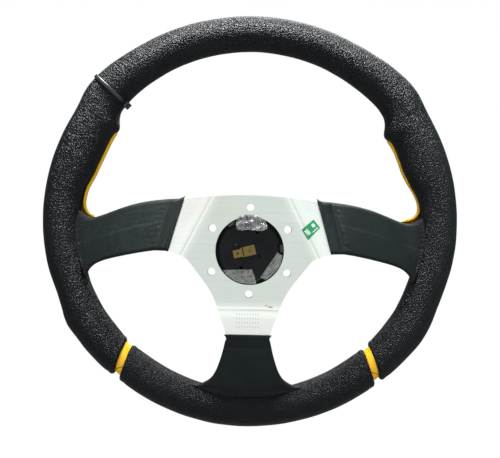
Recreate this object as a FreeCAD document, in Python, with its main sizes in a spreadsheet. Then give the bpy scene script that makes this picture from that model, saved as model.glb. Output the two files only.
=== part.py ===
import FreeCAD, Part
import math
import os
import Sketcher
from FreeCAD import Placement, Rotation, Vector

# Three-spoke sports steering wheel with a six-bolt hub flange and a horn button.
# Frame: +Z to the top of the wheel, +Y to the steering column (the rear of the wheel),
# -Y to the driver, +X to the driver's right. The origin is the centre of the bolt circle
# on the plate's rear mounting face. Millimetres.

doc = FreeCAD.newDocument("steering_wheel")
sheet = doc.addObject("Spreadsheet::Sheet", "Params")

ROWS = [
    ("bolt_pcd", 70.0, "bolt circle diameter"),
    ("bolt_hole", 6.2, "clearance hole for an M5 or M6 hub screw"),
    ("bolt_count", 6, "hub screws"),
    ("centre_bore", 55.0, "bore of the plate, for the horn button"),
    ("plate_thick", 3.0, "aluminium plate thickness"),
    ("arm_bend", 47.0, "distance of each arm's first bend from the hub axis"),
    ("arm_land", 119.0, "distance of each arm's second bend from the hub axis"),
    ("plate_drop", 33.5, "how far forward the rim tabs lie"),
    ("side_angle", 27.0, "press direction of the side arms above horizontal"),
    ("rim_radius", 158.2, "rim centreline radius"),
    ("rim_up", 24.0, "rim centre above the hub axis"),
    ("rim_depth", 40.0, "rim centreline in front of the mounting face"),
    ("hoop_dia", 12.0, "steel hoop diameter"),
    ("foam_dia", 28.0, "foam diameter under the skin"),
    ("grip_dia", 30.4, "finished grip diameter"),
    ("band_dia", 24.4, "accent band diameter"),
    ("gap_half", 3.5, "half of the gap between the two grips"),
    ("band_half", 3.3, "half of the band's width"),
    ("cover_lift", 2.2, "spoke cover thickness over the plate, each side"),
    ("rivet_dia", 4.0, "rim tab rivet shank"),
    ("rivet_head", 8.0, "rim tab rivet head"),
    ("ring_dia", 84.0, "retaining ring outside diameter"),
    ("ring_thick", 6.5, "retaining ring thickness"),
    ("ring_bore", 55.8, "retaining ring bore"),
    ("seat_dia", 60.6, "retaining ring counterbore"),
    ("seat_depth", 3.3, "retaining ring counterbore depth"),
    ("housing_dia", 50.0, "horn housing body"),
    ("flange_dia", 60.0, "horn housing flange"),
    ("lip_dia", 48.8, "bezel lip opening"),
    ("cap_dia", 48.0, "horn cap dome"),
    ("cap_travel", 2.0, "horn push travel"),
    ("tie_width", 3.2, "cable tie strap width"),
]
for i, (alias, value, note) in enumerate(ROWS, start=2):
    sheet.set("A%d" % i, alias)
    sheet.set("B%d" % i, ("%g" % value))
    sheet.set("C%d" % i, note)
    sheet.setAlias("B%d" % i, alias)
doc.recompute()


class Q:
    """A size that carries both its number and its spreadsheet expression."""

    def __init__(self, value, text):
        self.v = float(value)
        self.t = text

    def _join(self, other, sign, number):
        text = other.t if isinstance(other, Q) else "%.6g" % other
        return Q(number, "(%s %s %s)" % (self.t, sign, text))

    def __add__(self, o):
        return self._join(o, "+", self.v + num(o))

    def __sub__(self, o):
        return self._join(o, "-", self.v - num(o))

    def __mul__(self, o):
        return self._join(o, "*", self.v * num(o))

    def __truediv__(self, o):
        return self._join(o, "/", self.v / num(o))

    def __neg__(self):
        return Q(-self.v, "(0 - %s)" % self.t)


def num(x):
    return x.v if isinstance(x, Q) else float(x)


class Sizes:
    pass


P = Sizes()
for alias, value, note in ROWS:
    setattr(P, alias, Q(value, "Params.%s" % alias))


def bind(obj, prop, q):
    setattr(obj, prop, num(q))
    if isinstance(q, Q):
        obj.setExpression(prop, q.t)


# ---------------------------------------------------------------- sketch helpers
def constrain_point(sk, geo, pos, x, y):
    for q, kind, axis in ((x, "DistanceX", -2), (y, "DistanceY", -1)):
        value = num(q)
        if abs(value) < 1e-9:
            sk.addConstraint(Sketcher.Constraint("PointOnObject", geo, pos, axis))
            continue
        n = sk.addConstraint(Sketcher.Constraint(kind, -1, 1, geo, pos, value))
        if isinstance(q, Q):
            sk.setExpression("Constraints[%d]" % n, q.t)


def outline(sk, pts, arcs=None):
    """Closed outline through pts. arcs maps an edge's number to the point it bows through."""
    arcs = arcs or {}
    n = len(pts)
    ids, bows, centres = [], {}, {}
    for i in range(n):
        a = Vector(num(pts[i][0]), num(pts[i][1]), 0)
        b = Vector(num(pts[(i + 1) % n][0]), num(pts[(i + 1) % n][1]), 0)
        if i in arcs:
            m = Vector(arcs[i][0], arcs[i][1], 0)
            bows[i] = (a, m, b)
            left_turn = (m - a).cross(b - m).z > 0
            arc = Part.Arc(a, m, b) if left_turn else Part.Arc(b, m, a)
            g = sk.addGeometry(arc, False)
            geo = sk.Geometry[g]
            start = geo.StartPoint
            centres[i] = (g, b.x - a.x, b.y - a.y)
            ids.append((g, 1, 2) if (start - a).Length < (start - b).Length else (g, 2, 1))
        else:
            g = sk.addGeometry(Part.LineSegment(a, b), False)
            ids.append((g, 1, 2))
    for i in range(n):
        g, s, e = ids[i]
        g2, s2, e2 = ids[(i + 1) % n]
        sk.addConstraint(Sketcher.Constraint("Coincident", g, e, g2, s2))
    for i in range(n):
        constrain_point(sk, ids[i][0], ids[i][1], pts[i][0], pts[i][1])
    for i, (g, dx, dy) in centres.items():
        # with both ends held, one coordinate of its centre fixes an arc
        c = Part.Arc(*bows[i]).toShape().Curve.Center
        value, kind, axis = (c.x, "DistanceX", -2) if abs(dy) > abs(dx) else (c.y, "DistanceY", -1)
        if abs(value) < 1e-6:
            sk.addConstraint(Sketcher.Constraint("PointOnObject", g, 3, axis))
        else:
            sk.addConstraint(Sketcher.Constraint(kind, -1, 1, g, 3, value))


def circle(sk, x, y, radius):
    g = sk.addGeometry(Part.Circle(Vector(num(x), num(y), 0), Vector(0, 0, 1), num(radius)), False)
    constrain_point(sk, g, 3, x, y)
    n = sk.addConstraint(Sketcher.Constraint("Radius", g, num(radius)))
    if isinstance(radius, Q):
        sk.setExpression("Constraints[%d]" % n, radius.t)


def rounded(pts, radii):
    """Points and arcs of a closed outline whose corners are rounded by radii (0 for sharp)."""
    out, arcs = [], {}
    n = len(pts)
    for i in range(n):
        p = Vector(pts[i][0], pts[i][1], 0)
        r = radii[i]
        if not r:
            out.append((p.x, p.y))
            continue
        a = Vector(*pts[i - 1], 0) - p
        b = Vector(*pts[(i + 1) % n], 0) - p
        half = a.getAngle(b) / 2
        back = r / math.tan(half)
        t1 = p + a.normalize() * back
        t2 = p + b.normalize() * back
        mid = (a + b).normalize()
        m = p + mid * (r / math.sin(half) - r)
        out.append((t1.x, t1.y))
        arcs[len(out) - 1] = (m.x, m.y)
        out.append((t2.x, t2.y))
    return out, arcs


def body(label):
    b = doc.addObject("PartDesign::Body", label)
    b.Label = label
    return b


def plane_of(b, role):
    return [f for f in b.Origin.OriginFeatures if f.Role == role][0]


def sketch(b, name, role, offset=None):
    sk = b.newObject("Sketcher::SketchObject", name)
    sk.AttachmentSupport = [(plane_of(b, role), "")]
    sk.MapMode = "FlatFace"
    if offset is not None:
        sk.AttachmentOffset = Placement(Vector(0, 0, num(offset)), Rotation())
        if isinstance(offset, Q):
            sk.setExpression("AttachmentOffset.Base.z", offset.t)
    return sk


def revolve(b, name, pts, arcs=None):
    """Solid of revolution about the body's Y axis. pts are (radius, y)."""
    sk = sketch(b, name + "_sketch", "XY_Plane")
    outline(sk, pts, arcs)
    rev = b.newObject("PartDesign::Revolution", name)
    rev.Profile = sk
    rev.ReferenceAxis = (sk, ["V_Axis"])
    rev.Angle = 360
    doc.recompute()
    return rev


def groove(b, name, pts, arcs=None):
    before = b.Shape.Volume
    sk = sketch(b, name + "_sketch", "XY_Plane")
    outline(sk, pts, arcs)
    g = b.newObject("PartDesign::Groove", name)
    g.Profile = sk
    g.ReferenceAxis = (sk, ["V_Axis"])
    g.Angle = 360
    doc.recompute()
    assert b.Shape.Volume < before - 0.01, name
    return g


def pad(b, name, sk, length, reverse=False, midplane=False):
    p = b.newObject("PartDesign::Pad", name)
    p.Profile = sk
    bind(p, "Length", length)
    p.Reversed = reverse
    p.Midplane = midplane
    doc.recompute()
    return p


def pocket(b, name, sk, length, reverse=False, midplane=False):
    before = b.Shape.Volume
    p = b.newObject("PartDesign::Pocket", name)
    p.Profile = sk
    bind(p, "Length", length)
    p.Reversed = reverse
    p.Midplane = midplane
    doc.recompute()
    assert b.Shape.Volume < before - 0.01, name
    return p


def around_y(b, name, feature, count):
    pat = b.newObject("PartDesign::PolarPattern", name)
    pat.Originals = [feature]
    axis = [f for f in b.Origin.OriginFeatures if f.Role == "Y_Axis"][0]
    pat.Axis = (axis, [""])
    pat.Angle = 360
    pat.Occurrences = int(num(count))
    if isinstance(count, Q):
        pat.setExpression("Occurrences", count.t)
    b.Tip = pat
    doc.recompute()
    return pat


def made(kind, name):
    return doc.addObject(kind, name)


def cut(label, base, tool):
    c = made("Part::Cut", label)
    c.Base, c.Tool = base, tool
    c.Label = label
    c.Refine = True
    doc.recompute()
    return c


def common(label, shapes):
    c = made("Part::MultiCommon", label)
    c.Shapes = shapes
    c.Label = label
    c.Refine = True
    doc.recompute()
    return c


def fuse(label, shapes):
    c = made("Part::MultiFuse", label)
    c.Shapes = shapes
    c.Label = label
    c.Refine = True
    doc.recompute()
    return c


def extruded(label, pts, arcs, placement, along, length, symmetric=False, holes=()):
    """A sketch in its own plane, extruded: for shapes cut from sheet or bar."""
    sk = made("Sketcher::SketchObject", label + "_sketch")
    outline(sk, pts, arcs)
    for x, y, r in holes:
        circle(sk, x, y, r)
    sk.Placement = placement
    ex = made("Part::Extrusion", label)
    ex.Base = sk
    ex.DirMode = "Custom"
    ex.Dir = along
    ex.LengthFwd = length
    ex.Symmetric = symmetric
    ex.Solid = True
    doc.recompute()
    return ex


# a sketch plane whose x is X, whose y is Z and whose normal is -Y
FRONT = Placement(Vector(0, 0, 0), Rotation(Vector(1, 0, 0), 90))
EARLY = Vector(0, -1, 0)
AXIS_Y = Rotation(Vector(1, 0, 0), -90)  # turns a primitive's Z axis to +Y

R = num(P.rim_radius)
UP = num(P.rim_up)
DEEP = num(P.rim_depth)
ANGLES = [num(P.side_angle), 180 - num(P.side_angle), 270.0]


# ---------------------------------------------------------------- spoke plate
# One pressing: a flat hub zone, three arms folded forward and a flat tab at each arm's end.
def bent_sheet(label, rear, front, start, end, bend_radius=7.0):
    """Three folded strips and the hub zone between them, rear and front offsets from the mid face."""
    u0, u1, drop, thick = num(P.arm_bend), num(P.arm_land), num(P.plate_drop), num(P.plate_thick)
    slope = math.atan2(drop, u1 - u0)
    strips = []

    def line_at(level):
        # the fold points of a surface that lies 'level' above the plate's rear face
        shift = level * math.tan(slope / 2)
        return (u0 + shift, level), (u1 + shift, level - drop)

    top = line_at(rear)
    bottom = line_at(-thick - front)
    for i, angle in enumerate(ANGLES):
        pts = [
            (start, rear), top[0], top[1], (end, top[1][1]),
            (end, bottom[1][1]), bottom[1], bottom[0], (start, -thick - front),
        ]
        inner = bend_radius
        outer = bend_radius + thick + rear + front
        flat, arcs = rounded(pts, [0, outer, inner, 0, 0, outer, inner, 0])
        strips.append(
            extruded(
                "%s_strip_%d" % (label, i), flat, arcs,
                Placement(Vector(0, 0, 0), Rotation(Vector(0, 1, 0), -angle)),
                Vector(-math.sin(math.radians(angle)), 0, math.cos(math.radians(angle))),
                160, symmetric=True,
            )
        )
    return strips


def meet(a1, a2, dist):
    """Where two lines at distance dist along directions a1 and a2 cross."""
    c1, s1, c2, s2 = (math.cos(math.radians(a1)), math.sin(math.radians(a1)),
                      math.cos(math.radians(a2)), math.sin(math.radians(a2)))
    det = c1 * s2 - s1 * c2
    return (dist * (s2 - s1) / det, dist * (c1 - c2) / det)


strips = bent_sheet("plate", 0.0, 0.0, 30.0, 168.0)
zone = [meet(ANGLES[0], ANGLES[1], 34), meet(ANGLES[1], ANGLES[2], 34), meet(ANGLES[2], ANGLES[0], 34)]
hub_zone = extruded("hub_zone", zone, {}, FRONT, EARLY, num(P.plate_thick))
half = [
    (54.8, 40.0, 0), (76.0, 36.6, 20), (150.0, 15.0, 0), (166.0, 13.0, 3), (166.0, -9.0, 3),
    (150.0, -9.0, 0), (84.0, -1.8, 30), (65.2, -1.6, 0), (51.0, -6.4, 14), (29.0, -34.5, 60),
    (18.4, -66.0, 40), (14.0, -112.0, 30), (12.5, -143.5, 3),
]
right = [(x, z) for x, z, r in half]
left = [(-x, z) for x, z, r in reversed(half)]
radii = [r for x, z, r in half] + [r for x, z, r in reversed(half)]
pts, arcs = rounded(right + left, radii)
arcs[len(pts) - 1] = (0.0, 44.4)
plate_outline = extruded("plate_outline", pts, arcs, Placement(Vector(0, 5, 0), FRONT.Rotation), EARLY, 60)
sheet_metal = fuse("plate_sheet", strips + [hub_zone])
blank = common("plate_blank", [sheet_metal, plate_outline])
bore = made("Part::Cylinder", "centre_bore")
bind(bore, "Radius", P.centre_bore / 2)
bore.Height = 20
bore.Placement = Placement(Vector(0, -10, 0), AXIS_Y)
bolt_tools = [bore]
for k in range(6):
    a = math.radians(90 + 60 * k)
    h = made("Part::Cylinder", "bolt_hole_%d" % k)
    bind(h, "Radius", P.bolt_hole / 2)
    h.Height = 20
    h.Placement = Placement(Vector(35 * math.cos(a), -10, 35 * math.sin(a)), AXIS_Y)
    h.setExpression("Placement.Base.x", "Params.bolt_pcd / 2 * cos(%g deg)" % (90 + 60 * k))
    h.setExpression("Placement.Base.z", "Params.bolt_pcd / 2 * sin(%g deg)" % (90 + 60 * k))
    bolt_tools.append(h)

# rivet places on the rim circle: two for each tab
spots = []
for sx in (1, -1):
    for dz in (-14.5, -29.5):
        spots.append((sx * math.sqrt(R * R - dz * dz), UP + dz))
for sx in (1, -1):
    spots.append((sx * 7.0, UP - math.sqrt(R * R - 49.0)))
tab_face = -num(P.plate_drop)
rivet_tools = []
for i, (x, z) in enumerate(spots):
    h = made("Part::Cylinder", "rivet_hole_%d" % i)
    bind(h, "Radius", P.rivet_dia / 2)
    h.Height = 13
    h.Placement = Placement(Vector(x, tab_face - 12, z), AXIS_Y)
    rivet_tools.append(h)
plate = cut("spoke_plate", blank, fuse("plate_holes", bolt_tools + rivet_tools))

# ---------------------------------------------------------------- rim hoop and its rivets
hoop = body("rim_hoop")
sk = sketch(hoop, "hoop_section", "XY_Plane")
circle(sk, P.rim_radius, 0, P.hoop_dia / 2)
rev = hoop.newObject("PartDesign::Revolution", "hoop_ring")
rev.Profile = sk
rev.ReferenceAxis = (sk, ["V_Axis"])
rev.Angle = 360
doc.recompute()
flat_level = DEEP - num(P.plate_drop) - num(P.plate_thick)  # 3.5 behind the hoop's centreline
sk = sketch(hoop, "flat_areas", "XZ_Plane", -flat_level)
for pts in (
    [(140, -40), (175, -40), (175, -4), (140, -4)],
    [(-175, -40), (-140, -40), (-140, -4), (-175, -4)],
    [(-16, -175), (16, -175), (16, -140), (-16, -140)],
):
    outline(sk, pts)
pocket(hoop, "tab_flats", sk, 6)
sk = sketch(hoop, "rivet_places", "XZ_Plane", -flat_level)
for x, z in spots:
    circle(sk, x, z - UP, P.rivet_dia / 2)
pocket(hoop, "rivet_bores", sk, 8.6, reverse=True)
hoop.Placement = Placement(Vector(0, -DEEP, UP), Rotation())
hoop.setExpression("Placement.Base.y", "0 - Params.rim_depth")
hoop.setExpression("Placement.Base.z", "Params.rim_up")

# the head is a spherical cap 1.5 high on a short cylinder
HEAD_R = (num(P.rivet_head) ** 2 / 4 + 1.5 ** 2) / 3.0
rivets = []
for i, (x, z) in enumerate(spots):
    b = body("rivet_%d" % i)
    rr, rh = P.rivet_dia / 2 - 0.02, P.rivet_head / 2
    revolve(
        b, "rivet_turned_%d" % i,
        [(0, -11.4), (rr, -11.4), (rr, 0.02), (rh, 0.02), (rh, 0.5), (0, 2.0)],
        {4: (2.4, 2.0 - (HEAD_R - math.sqrt(HEAD_R ** 2 - 5.76)))},
    )
    b.Placement = Placement(Vector(x, tab_face, z), Rotation())
    rivets.append(b)
rivet_set = made("Part::Compound", "arm_rivets")
rivet_set.Links = rivets
rivet_set.Label = "arm_rivets"
doc.recompute()


# ---------------------------------------------------------------- grips
def torus(name, minor):
    t = made("Part::Torus", name)
    bind(t, "Radius1", P.rim_radius)
    bind(t, "Radius2", minor)
    t.Placement = Placement(Vector(0, -DEEP, UP), AXIS_Y)
    t.setExpression("Placement.Base.y", "0 - Params.rim_depth")
    t.setExpression("Placement.Base.z", "Params.rim_up")
    return t


def lobe(name, side, grow):
    """Thumb rest: a short bent bar on the inner side of the grip, above the side spoke, coaxial with the rim."""
    past = math.degrees(grow / 148.8)
    start, sweep, minor, major = 56.0 - past, 21.0 + 2 * past, 13.0 + grow, 148.8
    t = made("Part::Torus", name)
    t.Radius1, t.Radius2, t.Angle3 = major, minor, sweep
    first = start - 90.0 if side > 0 else 270.0 - start - sweep
    place = Placement(Vector(0, -DEEP, UP), AXIS_Y)
    t.Placement = place.multiply(Placement(Vector(0, 0, 0), Rotation(Vector(0, 0, 1), first)))
    t.setExpression("Placement.Base.y", "0 - Params.rim_depth")
    t.setExpression("Placement.Base.z", "Params.rim_up")
    return t


def gap_wedge(name, shift):
    """Everything below the two slanted gap planes, moved by shift along their normals."""
    nx, nz, mid = 0.929, 0.371, 62.2
    level = mid + shift
    low = -215.0
    xb = (level - nz * low) / nx
    return extruded(
        name, [(level / nx, 0), (-level / nx, 0), (-xb, low), (xb, low)], {},
        Placement(Vector(0, 0, 0), FRONT.Rotation), EARLY, 90,
    )


gap = num(P.gap_half)
band = num(P.band_half)
wedge_low = gap_wedge("wedge_low", -gap)
wedge_high = gap_wedge("wedge_high", gap)
foam_ring = fuse("foam_ring", [torus("foam_torus", P.foam_dia / 2), lobe("foam_lobe_r", 1, -1.2), lobe("foam_lobe_l", -1, -1.2)])
skin_ring = fuse("skin_ring", [torus("skin_torus", P.grip_dia / 2), lobe("skin_lobe_r", 1, 0), lobe("skin_lobe_l", -1, 0)])
head_spaces = []
for i, (x, z) in enumerate(spots):
    c = made("Part::Cylinder", "head_space_%d" % i)
    bind(c, "Radius", P.rivet_head / 2 + 0.05)
    c.Height = 3.0
    c.Placement = Placement(Vector(x, tab_face - 0.5, z), AXIS_Y)
    head_spaces.append(c)
inner_parts = fuse("inner_parts", [blank, torus("hoop_space", P.hoop_dia / 2)] + head_spaces)
foam_bored = cut("foam_bored", foam_ring, inner_parts)
skin_shell = cut("skin_shell", skin_ring, foam_ring)
skin_bored = cut("skin_bored", skin_shell, plate)
foam_lower = common("foam_lower", [foam_bored, wedge_low])
foam_upper = cut("foam_upper", foam_bored, wedge_high)
skin_lower = common("grip_skin_lower", [skin_bored, wedge_low])
skin_upper = cut("grip_skin_upper", skin_bored, wedge_high)

# accent bands: split sleeves on the hoop in the two gaps, the split on the rear
band_gap = cut("band_gap", gap_wedge("band_high", band), gap_wedge("band_low", -band))
for side, label in ((1, "accent_band_right"), (-1, "accent_band_left")):
    near = made("Part::Box", label + "_zone")
    near.Length, near.Width, near.Height = 60, 60, 60
    near.Placement = Placement(Vector(105 * side - 30, -DEEP - 30, -126), Rotation())
    slit = made("Part::Box", label + "_slit")
    slit.Length, slit.Width, slit.Height = 30, 12, 0.6
    # the split runs along the rim, just outside the rear crest
    slit.Placement = Placement(
        Vector(108.6 * side, -DEEP + 6.3, -101.4), Rotation(Vector(0, 1, 0), 20.0 * side)
    ).multiply(Placement(Vector(-15, 0, -0.3), Rotation()))
    whole = common(label + "_whole", [cut(label + "_ring", torus(label + "_torus", P.band_dia / 2), torus(label + "_core", P.hoop_dia / 2 + 0.05)), band_gap, near])
    cut(label, whole, slit)

# ---------------------------------------------------------------- thumb inserts
# thin shells on the driver's side of each thumb rest
for side, label in ((1, "thumb_insert_right"), (-1, "thumb_insert_left")):
    zone = made("Part::Box", label + "_zone")
    zone.Length, zone.Width, zone.Height = 60, 17, 90
    zone.Placement = Placement(Vector(128 * side - 30, -DEEP - 17.5, 38), Rotation())
    raised = cut(label + "_shell", lobe(label + "_egg", side, 1.3), skin_ring)
    common(label, [raised, zone])

# ---------------------------------------------------------------- spoke covers
# sleeves folded over each arm, ending in a hem towards the hub and on the grip outside
lift = num(P.cover_lift)
cover_strips = bent_sheet("cover", lift, lift, 30.0, 160.0, 6.0)
side_cover = [
    (54.6, 41.2, 0), (70.0, 40.2, 20), (100.0, 35.2, 60), (128.0, 24.6, 14), (141.0, 27.5, 0),
    (150.0, 22.0, 0), (150.0, -22.0, 0), (136.0, -27.0, 0), (129.0, -14.6, 9), (104.0, -6.6, 60), (74.0, -1.2, 12), (65.6, -2.4, 0),
]
low_cover = [
    (17.0, -70.0, 0), (18.4, -75.0, 10), (27.0, -104.5, 14), (44.0, -112.0, 7), (52.0, -108.0, 0), (40.0, -128.0, 0),
]
covers = []
grips = [skin_ring]
for i, label in ((0, "spoke_cover_right"), (1, "spoke_cover_left"), (2, "spoke_cover_lower")):
    if i == 2:
        seq = low_cover + [(-x, z, r) for x, z, r in reversed(low_cover)]
    else:
        seq = side_cover if i == 0 else [(-x, z, r) for x, z, r in reversed(side_cover)]
    pts, arcs = rounded([(x, z) for x, z, r in seq], [r for x, z, r in seq])
    shape = extruded(label + "_outline", pts, arcs, Placement(Vector(0, 10, 0), FRONT.Rotation), EARLY, 70)
    sleeve = common(label + "_sleeve", [cover_strips[i], shape])
    hollow = cut(label + "_hollow", sleeve, plate)
    cut(label, hollow, skin_ring)

# ---------------------------------------------------------------- retaining ring
ring = body("retaining_ring")
ring_back = -P.plate_thick
ring_front = ring_back - P.ring_thick
revolve(
    ring, "ring_turned",
    [
        (P.ring_bore / 2, ring_back), (P.ring_dia / 2, ring_back), (P.ring_dia / 2, ring_front + 2.0),
        (P.ring_dia / 2 - 2.0, ring_front), (P.seat_dia / 2, ring_front),
        (P.seat_dia / 2, ring_front + P.seat_depth), (P.ring_bore / 2, ring_front + P.seat_depth),
    ],
    {2: (num(P.ring_dia) / 2 - 0.6, num(ring_front) + 0.6)},
)
sk = sketch(ring, "screw_hole", "XZ_Plane", P.plate_thick - 1)
circle(sk, 0, P.bolt_pcd / 2, P.bolt_hole / 2)
hole = pocket(ring, "screw_bore", sk, 20, reverse=True)
around_y(ring, "screw_bores", hole, P.bolt_count)
sinks = []
for k in range(6):
    a = math.radians(90 + 60 * k)
    c = made("Part::Cone", "sink_%d" % k)
    c.Radius1, c.Radius2, c.Height = 4.7, 3.0, 1.7
    c.Placement = Placement(
        Vector(35 * math.cos(a), num(ring_front), 35 * math.sin(a)), AXIS_Y)
    sinks.append(c)
ring.Label = "ring_blank"
cut("retaining_ring", ring, fuse("ring_sinks", sinks))

# ---------------------------------------------------------------- horn housing
seat = num(ring_front) + num(P.seat_depth)          # rear face of the housing flange
housing = body("horn_housing")
hr = P.housing_dia / 2
revolve(
    housing, "housing_moulding",
    [
        (0, -1.5), (hr - 0.8, -1.5), (hr, -2.3), (hr, seat), (P.flange_dia / 2, seat),
        (P.flange_dia / 2, seat - 2.2), (hr - 1.5, seat - 2.2), (hr - 1.5, -4.0), (0, -4.0),
    ],
)
sk = sketch(housing, "rivet_seat", "XZ_Plane", 0.5)
circle(sk, 0, 0, 1.6)
pocket(housing, "rivet_seat_bore", sk, 6, reverse=True)
sk = sketch(housing, "vent_places", "XZ_Plane", 0.5)
for x, z in ((10.2, 4.0), (-5.8, 14.9), (-8.1, -4.0), (6.7, -13.8)):
    circle(sk, x, z, 1.25)
pocket(housing, "vent_holes", sk, 6, reverse=True)
sk = sketch(housing, "ejector_places", "XZ_Plane", 0.5)
for x, z in ((11.4, 13.7), (-15.6, 1.7), (-3.0, -17.2), (17.5, -7.0)):
    circle(sk, x, z, 2.4)
pocket(housing, "ejector_marks", sk, 1.4, reverse=True)
sk = sketch(housing, "index_bar", "XZ_Plane", 1.0)
outline(sk, [(-2.4, 8.8), (-11.2, 9.4), (-11.1, 10.9), (-2.3, 10.3)])
pad(housing, "index_rib", sk, 1.2)
sk = sketch(housing, "clip_slot", "XZ_Plane", 0.5)
c35, s35 = math.cos(math.radians(35)), math.sin(math.radians(35))
outline(sk, [(x * c35 + z * s35, z * c35 - x * s35) for x, z in ((-3.6, 22.6), (3.6, 22.6), (3.6, 27.0), (-3.6, 27.0))])
slot = pocket(housing, "clip_slot_cut", sk, -seat - 0.5, reverse=True)
around_y(housing, "clip_slots", slot, 3)

# ---------------------------------------------------------------- horn bezel
bezel_back = seat - 2.2
bezel = body("horn_bezel")
revolve(
    bezel, "bezel_turned",
    [
        (26.9, bezel_back), (P.flange_dia / 2, bezel_back), (P.flange_dia / 2, bezel_back - 2.0),
        (P.flange_dia / 2 - 1.6, bezel_back - 5.6), (P.lip_dia / 2, bezel_back - 5.6),
        (P.lip_dia / 2, bezel_back - 4.1), (26.9, bezel_back - 4.1),
    ],
    {2: (num(P.flange_dia) / 2 - 0.3, bezel_back - 4.2)},
)

# ---------------------------------------------------------------- horn cap and its contact
lip_back = bezel_back - 4.1
cap = body("horn_cap")
cr = P.cap_dia / 2
revolve(
    cap, "cap_moulding",
    [
        (20.8, bezel_back + 0.8), (22.8, bezel_back + 0.8), (22.8, lip_back + 1.6), (26.3, lip_back + 1.6),
        (26.3, lip_back + 0.1), (cr, lip_back + 0.1), (cr, lip_back - 3.4), (cr - 2.2, lip_back - 5.6),
        (1.2, lip_back - 8.6), (0, lip_back - 8.6), (0, lip_back + 1.5), (3.6, lip_back + 1.5),
        (3.6, lip_back - 6.3), (20.8, lip_back - 3.6),
    ],
    {
        6: (num(cr) - 0.55, lip_back - 4.95),
        7: (12.0, lip_back - 8.6 + (80.7 - math.sqrt(80.7 ** 2 - 144.0))),
        12: (12.5, lip_back - 5.65),
    },
)
contact = body("moving_contact")
c_face = lip_back + 1.5
revolve(
    contact, "contact_disc",
    [(0, c_face), (9.5, c_face), (9.5, c_face + 0.8), (1.8, c_face + 0.8), (1.5, -7.65), (0, -7.65)],
)
fixed = body("terminal_rivet")
revolve(
    fixed, "rivet_barrel",
    [
        (0, -3.4), (0.9, -3.4), (0.9, -0.25), (2.4, -0.25), (2.4, -0.68), (1.57, -0.68), (1.57, -4.03),
        (2.6, -4.03), (2.6, -5.1), (0, -5.55),
    ],
)
terminal = body("spade_terminal")
sk = sketch(terminal, "strip_profile", "XY_Plane")
outline(sk, [(-4.6, -1.48), (5.4, -1.48), (6.6, 0.9), (13.4, 0.9), (13.4, 1.7), (6.0, 1.7), (4.8, -0.7), (-4.6, -0.7)])
pad(terminal, "strip", sk, 7.9, midplane=True)
sk = sketch(terminal, "strip_holes", "XZ_Plane", -4)
circle(sk, 0, 0, 1.6)
circle(sk, 9.8, 0, 0.85)
pocket(terminal, "strip_bores", sk, 9, reverse=True)
sk = sketch(terminal, "blade_sides", "XZ_Plane", -4)
outline(sk, [(6.8, 3.15), (12.6, 3.15), (14.5, 2.2), (14.5, 5.5), (6.8, 5.5)])
outline(sk, [(6.8, -3.15), (6.8, -5.5), (14.5, -5.5), (14.5, -2.2), (12.6, -3.15)])
pocket(terminal, "blade_trim", sk, 9, reverse=True)
terminal.Placement = Placement(Vector(0, 0, 0), Rotation(Vector(0, 1, 0), 14.5))

# ---------------------------------------------------------------- horn spring
# conical coil between the housing floor and the moving contact
wire = 0.45
y0, y1 = -4.0 - wire - 0.02, c_face + 0.8 + wire + 0.02
turns = 3.25
path = []
steps = int(turns * 16)
for k in range(steps + 1):
    t = k / steps
    a = 2 * math.pi * turns * t
    r = 12.0 - 4.2 * t
    path.append(Vector(r * math.cos(a), y0 + (y1 - y0) * t, r * math.sin(a)))
curve = Part.BSplineCurve()
curve.interpolate(path)
spine = Part.Wire([curve.toShape()])
d0 = curve.tangent(curve.FirstParameter)[0]
ring_wire = Part.Wire([Part.Circle(path[0], d0, wire).toShape()])
coil = spine.makePipeShell([ring_wire], True, True)
spring = made("Part::Feature", "horn_spring")
spring.Shape = coil
spring.Label = "horn_spring"
spring.Placement = Placement(Vector(0, 0, 0), Rotation())

# ---------------------------------------------------------------- spring-steel clips
clips = []
for k in range(3):
    b = body("clip_%d" % k)
    sk = sketch(b, "clip_profile_%d" % k, "XY_Plane")
    outline(sk, [(24.0, seat + 0.05), (24.5, seat + 0.05), (24.6, -4.3), (26.9, -3.4), (27.2, -2.6), (25.6, -1.6), (25.2, -1.9), (26.4, -2.7), (26.2, -3.0), (24.1, -4.0)])
    pad(b, "clip_strip_%d" % k, sk, 6.0, midplane=True)
    b.Placement = Placement(Vector(0, 0, 0), Rotation(Vector(0, 1, 0), -55 - 120 * k))
    clips.append(b)
clip_set = made("Part::Compound", "retaining_clips")
clip_set.Links = clips
clip_set.Label = "retaining_clips"

# ---------------------------------------------------------------- cable tie
phi = math.radians(48.0)
tie_ring = body("tie_strap")
sk = sketch(tie_ring, "strap_section", "XY_Plane")
g = P.grip_dia / 2
w = P.tie_width / 2
outline(sk, [(g + 0.08, -w), (g + 1.3, -w), (g + 1.3, w), (g + 0.08, w)])
rev = tie_ring.newObject("PartDesign::Revolution", "strap")
rev.Profile = sk
rev.ReferenceAxis = (sk, ["V_Axis"])
rev.Angle = 360
doc.recompute()
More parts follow.
